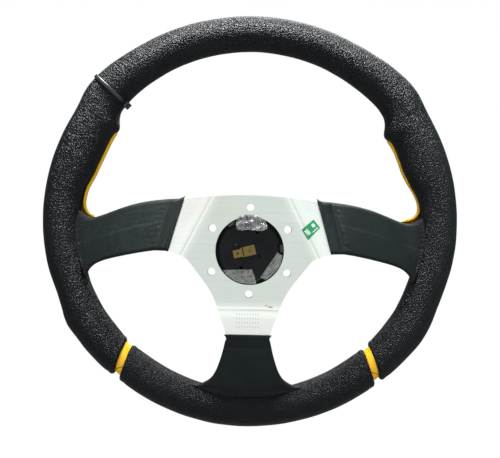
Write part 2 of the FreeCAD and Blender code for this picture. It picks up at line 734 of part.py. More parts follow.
# body axes: its Y along the rim, its X outwards
out = Vector(math.sin(phi), 0, math.cos(phi))
along = Vector(math.cos(phi), 0, -math.sin(phi))
turn = Rotation(out, along, out.cross(along), "ZXY")
centre = Vector(R * math.sin(phi), -DEEP, UP + R * math.cos(phi))
tie_ring.Placement = Placement(centre, turn)
head = body("tie_head")
sk = sketch(head, "head_section", "XY_Plane")
outline(sk, [(-21.4, -2.9), (-15.9, -2.9), (-15.9, 2.9), (-21.4, 2.9)])
pad(head, "head_block", sk, 5.2, midplane=True)
head.Placement = Placement(centre, turn)
tail = body("tie_tail")
sk = sketch(tail, "tail_section", "XY_Plane")
outline(sk, [(-19.4, -1.6), (-18.2, -1.6), (-18.2, 1.6), (-19.4, 1.6)])
pad(tail, "tail_strip", sk, 9.0, midplane=True)
tail.Placement = Placement(centre, turn)
fuse("cable_tie", [tie_ring, head, tail])

# ---------------------------------------------------------------- tape, sticker
film = 0.15


def film_piece(label, pts, y_back):
    b = body(label)
    sk = sketch(b, label + "_shape", "XZ_Plane", -y_back)
    outline(sk, pts)
    pad(b, label + "_film", sk, film, reverse=True)
    return b


film_piece("tape_top", [(10.2, 16.8), (10.6, 24.6), (4.0, 26.9), (-4.0, 26.9), (-11.6, 24.2), (-13.4, 17.0), (-4.0, 16.2)], -1.45)
film_piece("tape_lower", [(21.2, -15.9), (-2.2, -15.0), (-5.9, -26.4), (0.0, -27.0), (9.0, -25.4), (16.0, -21.6)], -1.45)
film_piece("tape_side", [(-22.4, -0.8), (-26.6, -3.6), (-21.0, -16.8), (-13.4, -23.0), (-8.8, -21.4)], -1.45)

mark = extruded(
    "sticker_outline", [(50.9, 26.2), (56.5, 19.6), (46.6, 9.4), (41.2, 17.8)], {},
    Placement(Vector(0, 5, 0), FRONT.Rotation), EARLY, 60,
)
mirror = made("Part::Mirroring", "sticker_outline_left")
mirror.Source = mark
mirror.Normal = Vector(1, 0, 0)
mirror.Base = Vector(0, 0, 0)
doc.recompute()
foil = bent_sheet("foil", film + 0.02, -num(P.plate_thick) - 0.02, 30.0, 90.0, 7.0)
common("inspection_sticker", [foil[1], mirror])

# ---------------------------------------------------------------- checks and export
doc.recompute()
NODES = [
    "spoke_plate", "rim_hoop", "arm_rivets", "foam_upper", "foam_lower", "grip_skin_upper", "grip_skin_lower",
    "spoke_cover_right", "spoke_cover_left", "spoke_cover_lower", "thumb_insert_right", "thumb_insert_left",
    "accent_band_right", "accent_band_left", "retaining_ring", "horn_housing", "horn_bezel", "horn_cap",
    "moving_contact", "terminal_rivet", "spade_terminal", "horn_spring", "retaining_clips", "cable_tie",
    "tape_top", "tape_lower", "tape_side", "inspection_sticker",
]
bad = [o.Name for o in doc.Objects if "Invalid" in o.State or "Error" in o.State]
assert not bad, "failed objects: %s" % bad
os.makedirs("parts", exist_ok=True)
for label in NODES:
    obj = [o for o in doc.Objects if o.Label == label]
    assert len(obj) == 1, (label, [o.Name for o in obj])
    shape = obj[0].Shape
    assert not shape.isNull() and shape.isValid(), label
    assert shape.Solids, label
    print("%-20s solids %d volume %10.1f" % (label, len(shape.Solids), shape.Volume))
for label in NODES:
    obj = [o for o in doc.Objects if o.Label == label][0]
    obj.Shape.exportStep("parts/%s.step" % label)
print("exported", len(NODES))
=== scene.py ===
import bpy, bmesh, math
import numpy as np
from mathutils import Vector, Matrix, noise


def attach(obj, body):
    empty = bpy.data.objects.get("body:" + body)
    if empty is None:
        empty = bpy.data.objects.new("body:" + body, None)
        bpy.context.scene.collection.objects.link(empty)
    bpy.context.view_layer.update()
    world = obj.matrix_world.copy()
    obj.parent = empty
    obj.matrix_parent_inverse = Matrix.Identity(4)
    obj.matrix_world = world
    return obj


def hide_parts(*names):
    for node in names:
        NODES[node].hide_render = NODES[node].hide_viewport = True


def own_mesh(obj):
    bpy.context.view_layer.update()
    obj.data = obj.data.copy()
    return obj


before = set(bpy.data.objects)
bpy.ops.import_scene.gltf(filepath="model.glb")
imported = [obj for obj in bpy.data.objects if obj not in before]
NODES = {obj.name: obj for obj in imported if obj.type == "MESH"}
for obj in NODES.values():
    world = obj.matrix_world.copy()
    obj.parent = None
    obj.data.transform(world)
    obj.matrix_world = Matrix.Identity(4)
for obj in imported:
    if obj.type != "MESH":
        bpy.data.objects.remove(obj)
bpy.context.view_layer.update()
MM = 0.001

# ------------------------------------------------------------------ camera, light and floor
cam_data = bpy.data.cameras.new("camera")
cam_data.sensor_width = 36.0
cam_data.lens = 62.44
cam_data.clip_start, cam_data.clip_end = 0.01, 50
cam = bpy.data.objects.new("camera", cam_data)
bpy.context.scene.collection.objects.link(cam)
roll = math.radians(1.25)
cx = Vector((-math.cos(roll), 0, math.sin(roll)))
cy = Vector((math.sin(roll), 0, math.cos(roll)))
cz = Vector((0, 1, 0))
rot = Matrix((cx, cy, cz)).transposed().to_4x4()
cam.matrix_world = Matrix.Translation((0.00012, 0.694, 0.0174)) @ rot
bpy.context.scene.camera = cam

bpy.context.scene.view_settings.view_transform = "Standard"
bpy.context.scene.view_settings.look = "None"


def area(name, place, target, size, power, colour=(1, 1, 1), size_y=None):
    d = bpy.data.lights.new(name, "AREA")
    d.energy, d.size, d.color = power, size, colour
    if size_y:
        d.shape, d.size_y = "RECTANGLE", size_y
    o = bpy.data.objects.new(name, d)
    bpy.context.scene.collection.objects.link(o)
    o.location = place
    o.rotation_mode = "QUATERNION"
    o.rotation_quaternion = (Vector(target) - Vector(place)).to_track_quat("-Z", "Y")
    return o


area("key_softbox", (0.07, 0.02, 1.25), (0, -0.04, 0.05), 0.60, 98.0)
area("side_softbox", (-1.45, 0.00, 0.30), (-0.05, -0.04, 0.0), 0.7, 6.0, (0.88, 1.0, 1.03))
area("fill_softbox", (1.25, 0.55, 0.1), (0, -0.04, 0.0), 0.8, 0.8)
area("front_softbox", (-0.25, -1.1, 1.0), (0, -0.04, 0.0), 0.9, 10.0)

world = bpy.data.worlds.new("studio")
bpy.context.scene.world = world
world.use_nodes = True
wt = world.node_tree
wt.nodes.clear()


def wnode(kind, **props):
    n = wt.nodes.new(kind)
    for k, v in props.items():
        setattr(n, k, v)
    return n


w_out = wnode("ShaderNodeOutputWorld")
w_mix = wnode("ShaderNodeMixShader")
w_path = wnode("ShaderNodeLightPath")
w_seen = wnode("ShaderNodeBackground")
w_seen.inputs["Color"].default_value = (1, 1, 1, 1)
w_seen.inputs["Strength"].default_value = 1.0
w_lit = wnode("ShaderNodeBackground")
w_co = wnode("ShaderNodeTexCoord")
w_sep = wnode("ShaderNodeSeparateXYZ")
w_ramp = wnode("ShaderNodeValToRGB")
w_map = wnode("ShaderNodeMapRange")
w_map.inputs["From Min"].default_value = -1.0
w_map.inputs["From Max"].default_value = 1.0
cr = w_ramp.color_ramp
cr.elements[0].position = 0.0
cr.elements[0].color = (0.26, 0.27, 0.28, 1)
cr.elements[1].position = 1.0
cr.elements[1].color = (0.75, 0.83, 0.77, 1)
for p, c in ((0.40, (0.12, 0.125, 0.13, 1)), (0.60, (0.18, 0.19, 0.20, 1)), (0.73, (0.75, 0.78, 0.78, 1)), (0.80, (1.45, 1.47, 1.44, 1)), (0.90, (1.40, 1.42, 1.38, 1)), (0.965, (0.92, 1.02, 0.96, 1))):
    e = cr.elements.new(p)
    e.color = c
wt.links.new(w_co.outputs["Generated"], w_sep.inputs["Vector"])
wt.links.new(w_sep.outputs["Y"], w_map.inputs["Value"])
wt.links.new(w_map.outputs["Result"], w_ramp.inputs["Fac"])
wt.links.new(w_ramp.outputs["Color"], w_lit.inputs["Color"])
w_low = wnode("ShaderNodeMapRange")
w_low.inputs["From Min"].default_value = -1.0
w_low.inputs["From Max"].default_value = -0.3
w_low.inputs["To Min"].default_value = 1.05
w_low.inputs["To Max"].default_value = 0.80
wt.links.new(w_sep.outputs["Z"], w_low.inputs["Value"])
wt.links.new(w_low.outputs["Result"], w_lit.inputs["Strength"])
wt.links.new(w_path.outputs["Is Camera Ray"], w_mix.inputs["Fac"])
wt.links.new(w_lit.outputs["Background"], w_mix.inputs[1])
wt.links.new(w_seen.outputs["Background"], w_mix.inputs[2])
wt.links.new(w_mix.outputs["Shader"], w_out.inputs["Surface"])

# ------------------------------------------------------------------ materials


class Mat:
    """A material being wired: Object coordinates in metres are the row frame at rest."""

    def __init__(self, name):
        self.m = bpy.data.materials.new(name)
        self.m.use_nodes = True
        self.t = self.m.node_tree
        self.b = self.t.nodes["Principled BSDF"]
        self.co = self.t.nodes.new("ShaderNodeTexCoord").outputs["Object"]

    def n(self, kind, **props):
        x = self.t.nodes.new(kind)
        for k, v in props.items():
            setattr(x, k, v)
        return x

    def link(self, a, b):
        self.t.links.new(a, b)

    def val(self, socket, v):
        self.b.inputs[socket].default_value = v

    def mapping(self, scale=(1, 1, 1), rotate=(0, 0, 0), move=(0, 0, 0), src=None):
        x = self.n("ShaderNodeMapping")
        x.inputs["Scale"].default_value = scale
        x.inputs["Rotation"].default_value = rotate
        x.inputs["Location"].default_value = move
        self.link(src or self.co, x.inputs["Vector"])
        return x.outputs["Vector"]

    def noise(self, scale, detail=3.0, rough=0.55, distort=0.0, src=None):
        x = self.n("ShaderNodeTexNoise")
        x.inputs["Scale"].default_value = scale
        x.inputs["Detail"].default_value = detail
        x.inputs["Roughness"].default_value = rough
        x.inputs["Distortion"].default_value = distort
        self.link(src or self.co, x.inputs["Vector"])
        return x.outputs["Fac"]

    def voronoi(self, scale, feature="F1", src=None, rand=1.0):
        x = self.n("ShaderNodeTexVoronoi", feature=feature)
        x.inputs["Scale"].default_value = scale
        x.inputs["Randomness"].default_value = rand
        self.link(src or self.co, x.inputs["Vector"])
        return x.outputs["Distance"]

    def ramp(self, src, stops):
        x = self.n("ShaderNodeValToRGB")
        e = x.color_ramp.elements
        while len(e) < len(stops):
            e.new(0.5)
        for el, (p, c) in zip(e, stops):
            el.position = p
            el.color = (c[0], c[1], c[2], 1) if hasattr(c, "__len__") else (c, c, c, 1)
        self.link(src, x.inputs["Fac"])
        return x.outputs["Color"]

    def rng(self, src, a, b, c, d, smooth=False):
        x = self.n("ShaderNodeMapRange")
        if smooth:
            x.interpolation_type = "SMOOTHSTEP"
        for k, v in zip(("From Min", "From Max", "To Min", "To Max"), (a, b, c, d)):
            x.inputs[k].default_value = v
        self.link(src, x.inputs["Value"])
        return x.outputs["Result"]

    def math(self, op, a, b=None, clamp=False):
        x = self.n("ShaderNodeMath", operation=op)
        x.use_clamp = clamp
        for i, v in enumerate((a, b)):
            if v is None:
                continue
            if isinstance(v, (int, float)):
                x.inputs[i].default_value = v
            else:
                self.link(v, x.inputs[i])
        return x.outputs[0]

    def mix(self, fac, a, b, blend="MIX"):
        x = self.n("ShaderNodeMix", data_type="RGBA", blend_type=blend)
        for sock, v in ((x.inputs["Factor"], fac), (x.inputs[6], a), (x.inputs[7], b)):
            if isinstance(v, (int, float)):
                sock.default_value = v
            elif isinstance(v, tuple):
                sock.default_value = (v[0], v[1], v[2], 1)
            else:
                self.link(v, sock)
        return x.outputs[2]

    def bump(self, height, strength, distance, normal=None):
        x = self.n("ShaderNodeBump")
        x.inputs["Strength"].default_value = strength
        x.inputs["Distance"].default_value = distance
        self.link(height, x.inputs["Height"])
        if normal:
            self.link(normal, x.inputs["Normal"])
        return x.outputs["Normal"]

    def normal(self, out):
        self.link(out, self.b.inputs["Normal"])

    def xyz(self, src=None):
        x = self.n("ShaderNodeSeparateXYZ")
        self.link(src or self.co, x.inputs[0])
        return x.outputs


def leather(name, dark, light, cell, grain, rough, wear=0.0, spec=0.3, depth=0.45, blend=False):
    """Coated leatherette: pebbles between fine creases, painted shade darkening the colour in those creases, soft folds
    of shade, and a worn sheen.
    """
    m = Mat(name)
    warp = m.n("ShaderNodeTexNoise")
    warp.inputs["Scale"].default_value = 0.45 / cell
    warp.inputs["Detail"].default_value = 2
    m.link(m.co, warp.inputs["Vector"])
    mv = m.n("ShaderNodeVectorMath", operation="MULTIPLY_ADD")
    m.link(warp.outputs["Color"], mv.inputs[0])
    mv.inputs[1].default_value = (cell * 1.1,) * 3
    m.link(m.co, mv.inputs[2])
    src = mv.outputs[0]
    edge = m.voronoi(1 / cell, "DISTANCE_TO_EDGE", src)
    edge2 = m.voronoi(1 / (cell * 0.47), "DISTANCE_TO_EDGE", src)
    fine = m.noise(1 / (cell * 0.22), 4, 0.6)
    pebble = m.rng(edge, 0.0, 0.28, 0.0, 1.0, True)
    pebble2 = m.rng(edge2, 0.0, 0.25, 0.0, 1.0, True)
    h = m.math("ADD", m.math("MULTIPLY", pebble, 1.0), m.math("MULTIPLY", pebble2, 0.45))
    h = m.math("ADD", h, m.math("MULTIPLY", fine, 0.35))
    if blend:
        # the pebbles fade in where the cover runs on to the grip
        px, py, pz = m.xyz()[:3]
        rr = m.math("SQRT", m.math("ADD", m.math("MULTIPLY", px, px), m.math("POWER", m.math("SUBTRACT", pz, 0.024), 2.0)))
        near = m.rng(m.math("ADD", rr, m.math("MULTIPLY", m.math("SUBTRACT", m.noise(60, 3), 0.5), 0.012)), 0.134, 0.146, 0.0, 1.0, True)
        e3 = m.voronoi(1 / blend[0], "DISTANCE_TO_EDGE", src)
        h = m.math("ADD", h, m.math("MULTIPLY", m.math("MULTIPLY", m.rng(e3, 0.0, 0.28, 0.0, 1.0, True), near), blend[1]))
    n1 = m.bump(h, grain, cell * depth)
    big = m.noise(38, 4, 0.55, 0.4)
    n2 = m.bump(big, 0.35, 0.0012, n1)
    m.normal(n2)
    tone = m.noise(16, 5, 0.6, 0.6)
    col = m.mix(m.rng(tone, 0.32, 0.70, 0.0, 1.0, True), dark, light)
    if blend:
        col = m.mix(near, col, blend[2])
    # painted shade: the colour is darkened down to 40 % in the creases between the pebbles
    crease_shade = m.rng(edge, 0.0, 0.12, 0.40, 1.0)
    col = m.mix(1.0, col, m.ramp(crease_shade, [(0.0, 0.0), (1.0, 1.0)]), "MULTIPLY")
    if wear:
        worn = m.math("MULTIPLY", m.rng(m.noise(70, 5, 0.7), 0.60, 0.78, 0.0, 1.0), wear)
        col = m.mix(worn, col, tuple(min(1, 2.2 * x + 0.01) for x in light))
    m.link(col, m.b.inputs["Base Color"])
    r = m.math("ADD", m.rng(tone, 0.3, 0.7, rough - 0.05, rough + 0.07), m.math("MULTIPLY", fine, 0.10))
    r = m.math("SUBTRACT", r, m.math("MULTIPLY", pebble, 0.06))
    m.link(r, m.b.inputs["Roughness"])
    m.val("Specular IOR Level", spec)
    return m


def plastic(name, colour, rough=0.42, texture=0.0006, amount=0.25, tint=0.25, scratch=True):
    m = Mat(name)
    tone = m.noise(45, 4, 0.6)
    dark = tuple(x * (1 - tint) for x in colour)
    col = m.mix(m.rng(tone, 0.3, 0.7, 0.0, 1.0, True), dark, colour)
    fine = m.noise(1 / texture, 3, 0.6)
    h = fine
    if scratch:
        s = m.noise(260, 4, 0.7, 0.2, m.mapping((1.0, 1.0, 0.06), (0.3, 0.7, 0.5)))
        line = m.rng(s, 0.62, 0.66, 0.0, 1.0)
        col = m.mix(m.math("MULTIPLY", line, 0.22), col, tuple(min(1, x * 2.0 + 0.03) for x in colour))
        h = m.math("SUBTRACT", fine, m.math("MULTIPLY", line, 0.5))
    m.link(col, m.b.inputs["Base Color"])
    m.link(m.rng(tone, 0.25, 0.75, rough - 0.07, rough + 0.09), m.b.inputs["Roughness"])
    m.normal(m.bump(h, amount, texture * 0.5))
    return m.m


def metal(name, colour, rough=0.32, along=(8.0, 1.0, 900.0), strength=0.25, spots=0.0, turn=(0, 0, 0)):
    m = Mat(name)
    v = m.mapping(along, turn)
    brush = m.noise(1.0, 6, 0.72, 0.0, v)
    fine = m.noise(3.1, 6, 0.75, 0.0, v)
    tone = m.noise(14, 4, 0.6, 0.8)
    both = m.math("ADD", m.math("MULTIPLY", brush, 0.6), m.math("MULTIPLY", fine, 0.4))
    col = m.mix(m.rng(both, 0.35, 0.65, 0.0, 1.0), tuple(x * 0.86 for x in colour), colour)
    col = m.mix(m.rng(tone, 0.45, 0.75, 0.0, 0.35, True), col, tuple(x * y for x, y in zip(colour, (0.93, 0.91, 0.88))))
    if spots:
        sp = m.rng(m.noise(120, 5, 0.75), 0.66, 0.72, 0.0, spots)
        col = m.mix(sp, col, tuple(x * 0.35 for x in colour))
    m.link(col, m.b.inputs["Base Color"])
    m.val("Metallic", 1.0)
    m.link(m.rng(both, 0.3, 0.7, rough - 0.07, rough + 0.10), m.b.inputs["Roughness"])
    m.normal(m.bump(both, strength, 0.00012))
    return m


RIM_LEATHER = leather("grained_leatherette", (0.0022, 0.0034, 0.0048), (0.0050, 0.0068, 0.0085), 0.0023, 0.7, 0.33, 0.02, 0.16, 0.27).m
COVER_LEATHER = leather("smooth_leatherette", (0.0034, 0.0074, 0.0076), (0.0070, 0.0128, 0.0130), 0.0009, 0.40, 0.40, 0.0, 0.19, 0.45, (0.0022, 3.2, (0.0036, 0.0050, 0.0066))).m
YELLOW_LEATHER = leather("yellow_leatherette", (0.86, 0.44, 0.004), (0.93, 0.52, 0.008), 0.0013, 0.30, 0.42).m
YELLOW = plastic("yellow_plastic", (0.92, 0.47, 0.002), 0.34, 0.0005, 0.2, 0.12)
RING = plastic("ring_plastic", (0.012, 0.013, 0.014), 0.46, 0.0005, 0.4)
HORN = plastic("horn_plastic", (0.0028, 0.0036, 0.0050), 0.46, 0.0004, 0.3, 0.3)
for nd in HORN.node_tree.nodes:
    if nd.type == "BSDF_PRINCIPLED":
        nd.inputs["Specular IOR Level"].default_value = 0.16
BEZEL = plastic("bezel_plastic", (0.012, 0.013, 0.015), 0.30, 0.0005, 0.25)
CAP = plastic("cap_plastic", (0.018, 0.019, 0.021), 0.26, 0.0005, 0.22)
NYLON = plastic("nylon_black", (0.010, 0.010, 0.011), 0.36, 0.0005, 0.25, 0.2)
THREAD = plastic("thread_black", (0.014, 0.015, 0.016), 0.65, 0.0003, 0.6, 0.3, False)
BRASS = metal("contact_brass", (0.24, 0.165, 0.062), 0.34, (420.0, 60.0, 60.0), 0.6, 0.6).m
SPRING = metal("spring_steel", (0.60, 0.61, 0.62), 0.28, (300.0, 300.0, 40.0), 0.3, 0.2).m
CLIP = metal("clip_steel", (0.10, 0.10, 0.11), 0.42, (300.0, 300.0, 40.0), 0.3, 0.2).m
HOOP = metal("hoop_steel", (0.46, 0.46, 0.47), 0.45, (60.0, 60.0, 60.0), 0.5, 0.4).m
RIVET = metal("rivet_steel", (0.55, 0.55, 0.56), 0.35, (200.0, 200.0, 200.0), 0.4, 0.3).m


def plate_material():
    """Brushed aluminium sheet: long horizontal brushing, cloudy reflections, faint scuffs, one small brown scrape and four rows of plain tick marks."""
    m = metal("brushed_aluminium", (0.90, 0.915, 0.895), 0.36, (7.0, 40.0, 1500.0), 0.30)
    base = [l.from_socket for l in m.t.links if l.to_socket == m.b.inputs["Base Color"]][0]
    x, y, z = m.xyz()[:3]
    # cloudy warm and green patches
    cloud = m.noise(9.0, 2, 0.5, 0.6, m.mapping((1.0, 1.0, 1.2), (0, 0, 0), (0.31, 0.0, 0.17)))
    col = m.mix(m.rng(cloud, 0.52, 0.68, 0.0, 0.55, True), base, (0.80, 0.76, 0.70))
    cloud2 = m.noise(11.0, 2, 0.5, 0.6, m.mapping((1.4, 1.0, 0.8), (0, 0, 0), (0.71, 0.4, 0.57)))
    col = m.mix(m.rng(cloud2, 0.50, 0.66, 0.0, 0.5, True), col, (0.74, 0.83, 0.78))
    # scuffs, long and thin in several directions
    for k, (rz, sc) in enumerate((((0, 0.35, 0), 340), ((0, -0.7, 0), 290), ((0, 1.3, 0), 260))):
        s = m.noise(sc, 2, 0.5, 0.15, m.mapping((0.045, 1, 1), rz, (0.13 * k, 0, 0.07)))
        line = m.rng(s, 0.735, 0.755, 0.0, 0.38)
        col = m.mix(line, col, (0.50, 0.50, 0.48))
    # a brown scrape low on the right of the hub, seen from the back
    def blob(x0, z0, hx, hz, slope=0.0):
        dx = m.math("SUBTRACT", x, x0)
        dz = m.math("SUBTRACT", m.math("SUBTRACT", z, z0), m.math("MULTIPLY", dx, slope))
        a = m.math("POWER", m.math("DIVIDE", m.math("ABSOLUTE", dx), hx), 2.0)
        b = m.math("POWER", m.math("DIVIDE", m.math("ABSOLUTE", dz), hz), 2.0)
        return m.math("ADD", a, b)
    wob = m.noise(900, 4, 0.7)
    scrape = m.math("ADD", blob(-0.0172, -0.0448, 0.0038, 0.0008, 0.12), m.math("MULTIPLY", wob, 1.6))
    col = m.mix(m.rng(scrape, 0.9, 1.35, 0.85, 0.0), col, (0.05, 0.033, 0.018))
    scrape2 = m.math("ADD", blob(-0.0141, -0.0437, 0.0016, 0.0007, -0.5), m.math("MULTIPLY", wob, 1.3))
    col = m.mix(m.rng(scrape2, 0.8, 1.3, 0.7, 0.0), col, (0.07, 0.045, 0.022))
    # four rows of faint plain ticks on the lower arm
    zr = m.math("DIVIDE", m.math("SUBTRACT", z, -0.0636), 0.00355)
    row = m.math("FRACT", zr)
    row_in = m.math("MULTIPLY", m.math("GREATER_THAN", row, 0.30), m.math("LESS_THAN", row, 0.72))
    band = m.math("MULTIPLY", m.math("GREATER_THAN", z, -0.0636), m.math("LESS_THAN", z, -0.0494))
    side = m.math("LESS_THAN", m.math("ABSOLUTE", m.math("ADD", x, -0.0012)), 0.0098)
    xr = m.math("FRACT", m.math("DIVIDE", m.math("ADD", x, 1.0), 0.0022))
    tick = m.math("GREATER_THAN", xr, 0.62)
    marks = m.math("MULTIPLY", m.math("MULTIPLY", row_in, band), m.math("MULTIPLY", side, tick))
    col = m.mix(m.math("MULTIPLY", marks, 0.42), col, (0.30, 0.30, 0.29))
    m.link(col, m.b.inputs["Base Color"])
    m.val("Anisotropic", 0.35)
    return m.m


ALU = plate_material()


def foam_material():
    m = Mat("grip_foam")
    cells = m.voronoi(1400, "F1")
    m.link(m.mix(m.rng(cells, 0.0, 0.6, 0.0, 1.0), (0.012, 0.012, 0.012), (0.035, 0.035, 0.036)), m.b.inputs["Base Color"])
    m.link(m.rng(cells, 0.0, 0.6, 0.75, 0.95), m.b.inputs["Roughness"])
    m.normal(m.bump(cells, 0.6, 0.0004))
    return m.m


FOAM = foam_material()


def tape_material(name, alpha0, alpha1, tone0, tone1, rough):
    """Clear adhesive tape: mostly see-through, milky where it is creased, glossy on top."""
    m = Mat(name)
    milk = m.noise(240, 5, 0.65, 0.5)
    m.link(m.mix(m.rng(milk, 0.35, 0.65, 0.0, 1.0), tone0, tone1), m.b.inputs["Base Color"])
    m.link(m.rng(milk, 0.3, 0.7, alpha0, alpha1), m.b.inputs["Alpha"])
    m.link(m.rng(milk, 0.3, 0.7, rough, rough + 0.12), m.b.inputs["Roughness"])
    m.val("Specular IOR Level", 0.9)
    m.normal(m.bump(milk, 0.25, 0.0004))
    return m.m


TAPE = tape_material("clear_tape", 0.26, 0.48, (0.20, 0.205, 0.20), (0.36, 0.365, 0.355), 0.10)
TAPE_CREASED = tape_material("clear_tape_creased", 0.42, 0.78, (0.10, 0.10, 0.11), (0.50, 0.50, 0.51), 0.02)


def label_material():
    """Green paper label with plain pale blocks, no lettering."""
    m = Mat("green_label")
    x, y, z = m.xyz(m.mapping((1, 1, 1), (0, 0, 0), (0.0488, 0, -0.01825)))[:3]
    u = m.math("ADD", m.math("MULTIPLY", x, -0.725), m.math("MULTIPLY", z, 0.688))
    w = m.math("ADD", m.math("MULTIPLY", x, 0.688), m.math("MULTIPLY", z, 0.725))

    def rect(u0, u1, w0, w1):
        a = m.math("MULTIPLY", m.math("GREATER_THAN", u, u0), m.math("LESS_THAN", u, u1))
        b = m.math("MULTIPLY", m.math("GREATER_THAN", w, w0), m.math("LESS_THAN", w, w1))
        return m.math("MULTIPLY", a, b)

    grain = m.noise(1500, 4, 0.6)
    col = m.mix(m.rng(grain, 0.3, 0.7, 0.0, 1.0), (0.003, 0.145, 0.062), (0.007, 0.205, 0.092))
    blocks = rect(-0.0052, -0.0020, -0.0022, 0.0026)
    blocks = m.math("MAXIMUM", blocks, rect(0.0022, 0.0048, -0.0006, 0.0026))
    hatch = m.rng(m.math("FRACT", m.math("DIVIDE", m.math("ADD", w, 1.0), 0.0013)), 0.25, 0.40, 0.0, 1.0)
    blocks = m.math("MULTIPLY", blocks, hatch)
    blocks = m.math("MAXIMUM", blocks, rect(-0.0006, 0.0052, -0.0031, -0.0026))
    broken = m.rng(m.noise(1300, 2, 0.5), 0.42, 0.52, 0.45, 1.0)
    col = m.mix(m.math("MULTIPLY", blocks, broken), col, (0.72, 0.80, 0.66))
    m.link(col, m.b.inputs["Base Color"])
    m.link(m.rng(grain, 0.3, 0.7, 0.38, 0.55), m.b.inputs["Roughness"])
    m.normal(m.bump(grain, 0.3, 0.0001))
    return m.m


LABEL = label_material()

FLOOR = Mat("pale_floor")
FLOOR.link(FLOOR.mix(FLOOR.noise(3, 3), (0.80, 0.80, 0.79), (0.84, 0.84, 0.83)), FLOOR.b.inputs["Base Color"])
FLOOR.val("Roughness", 0.8)

# ------------------------------------------------------------------ mesh helpers


def make(name, verts, faces, mat, smooth=True):
    me = bpy.data.meshes.new(name)
    me.from_pydata([tuple(v) for v in verts], [], [tuple(int(i) for i in f) for f in faces])
    bm = bmesh.new()
    bm.from_mesh(me)
    bmesh.ops.recalc_face_normals(bm, faces=bm.faces)
    bm.to_mesh(me)
    bm.free()
    me.validate()
    if smooth:
        me.polygons.foreach_set("use_smooth", [True] * len(me.polygons))
    o = bpy.data.objects.new(name, me)
    bpy.context.scene.collection.objects.link(o)
    me.materials.append(mat)
    return o


def grid_faces(nr, nc, wrap_r=False, wrap_c=False, off=0):
    out = []
    for r in range(nr if wrap_r else nr - 1):
        r2 = (r + 1) % nr
        for c in range(nc if wrap_c else nc - 1):
            c2 = (c + 1) % nc
            out.append((off + r * nc + c, off + r * nc + c2, off + r2 * nc + c2, off + r2 * nc + c))
    return out


def spline(points, n):
    """Centripetal-like Catmull-Rom through the points, n samples evenly spaced along it."""
    p = np.array(points, float)
    p = np.vstack([2 * p[0] - p[1], p, 2 * p[-1] - p[-2]])
    out = []
    for i in range(1, len(p) - 2):
        for t in np.linspace(0, 1, 24, endpoint=False):
            out.append(0.5 * ((2 * p[i]) + (-p[i - 1] + p[i + 1]) * t + (2 * p[i - 1] - 5 * p[i] + 4 * p[i + 1] - p[i + 2]) * t * t + (-p[i - 1] + 3 * p[i] - 3 * p[i + 1] + p[i + 2]) * t ** 3))
    out.append(p[-2])
    out = np.array(out)
    d = np.r_[0, np.cumsum(np.linalg.norm(np.diff(out, axis=0), axis=1))]
    s = np.linspace(0, d[-1], n)
    return np.stack([np.interp(s, d, out[:, k]) for k in range(out.shape[1])], 1)


def smax(a, b, k):
    h = np.clip(0.5 + 0.5 * (a - b) / k, 0, 1)
    return b * (1 - h) + a * h + k * h * (1 - h)


def pnoise(p, scale, seed=0.0):
    """Smooth noise from -1 to 1 at each row of p (in metres); scale is the feature size."""
    q = np.asarray(p) / scale + seed
    return np.array([noise.noise(Vector(v)) for v in q])


# ------------------------------------------------------------------ the rim's own shape
RC = np.array([0.0, -0.040, 0.024])        # rim centre
HB = 15.2                                  # half depth of the grip, mm

# angle from the top, apparent outer radius and inner radius in mm; right is -X, left is +X
OUT_R = [(0, 173.0), (20, 173.6), (30, 174.2), (36, 175.4), (40, 176.9), (44.5, 178.0), (48.5, 178.5), (51.5, 178.0), (54.5, 176.5), (57.5, 175.1), (63.5, 174.8), (76.5, 174.8), (90, 174.6), (100, 174.6), (110, 173.7), (114, 174.2), (120, 176.2), (124, 176.6), (128, 175.9), (136, 174.8), (142, 174.0), (156, 173.4), (180, 173.2)]
OUT_L = [(0, 173.0), (20, 173.8), (32, 174.9), (40, 176.6), (44, 177.6), (48, 178.4), (51, 178.6), (54, 177.4), (57, 175.6), (60, 174.9), (68, 174.9), (80, 175.0), (93.6, 175.2), (100, 175.0), (105.9, 174.5), (111.5, 173.8), (115.5, 175.0), (118.5, 176.8), (121.1, 177.6), (124.5, 176.7), (129.2, 176.2), (136, 175.2), (141, 173.6), (156, 173.4), (180, 173.2)]
IN_R = [(0, 143.1), (31, 143.2), (41, 144.0), (47.5, 144.2), (51.3, 142.9), (53.6, 139.6), (55.8, 134.2), (57.5, 133.4), (58.9, 135.7), (60.5, 136.5), (64, 136.0), (70.8, 135.4), (76.3, 138.1), (80.7, 141.9), (84.2, 143.4), (92, 143.4), (104, 143.2), (112, 142.9), (120, 143.6), (130, 143.5), (141, 143.0), (156, 142.8), (180, 142.8)]
IN_L = [(0, 143.3), (33, 144.0), (44, 144.3), (51.0, 143.4), (53.8, 139.6), (55.7, 135.2), (57.1, 134.5), (58.6, 136.7), (60.5, 137.0), (67, 136.5), (74.5, 138.0), (79.5, 142.0), (84.5, 143.7), (92, 143.6), (106, 143.6), (112.5, 144.7), (121.5, 144.7), (128.5, 143.9), (136, 144.0), (144, 143.0), (156, 142.8), (180, 142.8)]


def table_of(right, left):
    a = np.array(right, float)
    b = np.array(left, float)
    ang = np.r_[-b[::-1, 0], a[1:, 0]]
    rad = np.r_[b[::-1, 1], a[1:, 1]]
    grid = np.arange(-180, 180, 0.25)
    v = np.interp(grid, ang, rad)
    k = np.exp(-0.5 * (np.arange(-12, 13) * 0.25 / 0.75) ** 2)
    k /= k.sum()
    v = np.convolve(np.r_[v[-12:], v, v[:12]], k, "valid")
    return grid, v


G_OUT, V_OUT = table_of(OUT_R, OUT_L)
G_IN, V_IN = table_of(IN_R, IN_L)


def r_out(t):
    return np.interp((np.asarray(t) + 180) % 360 - 180, G_OUT, V_OUT, period=360)


def r_in(t):
    return np.interp((np.asarray(t) + 180) % 360 - 180, G_IN, V_IN, period=360)


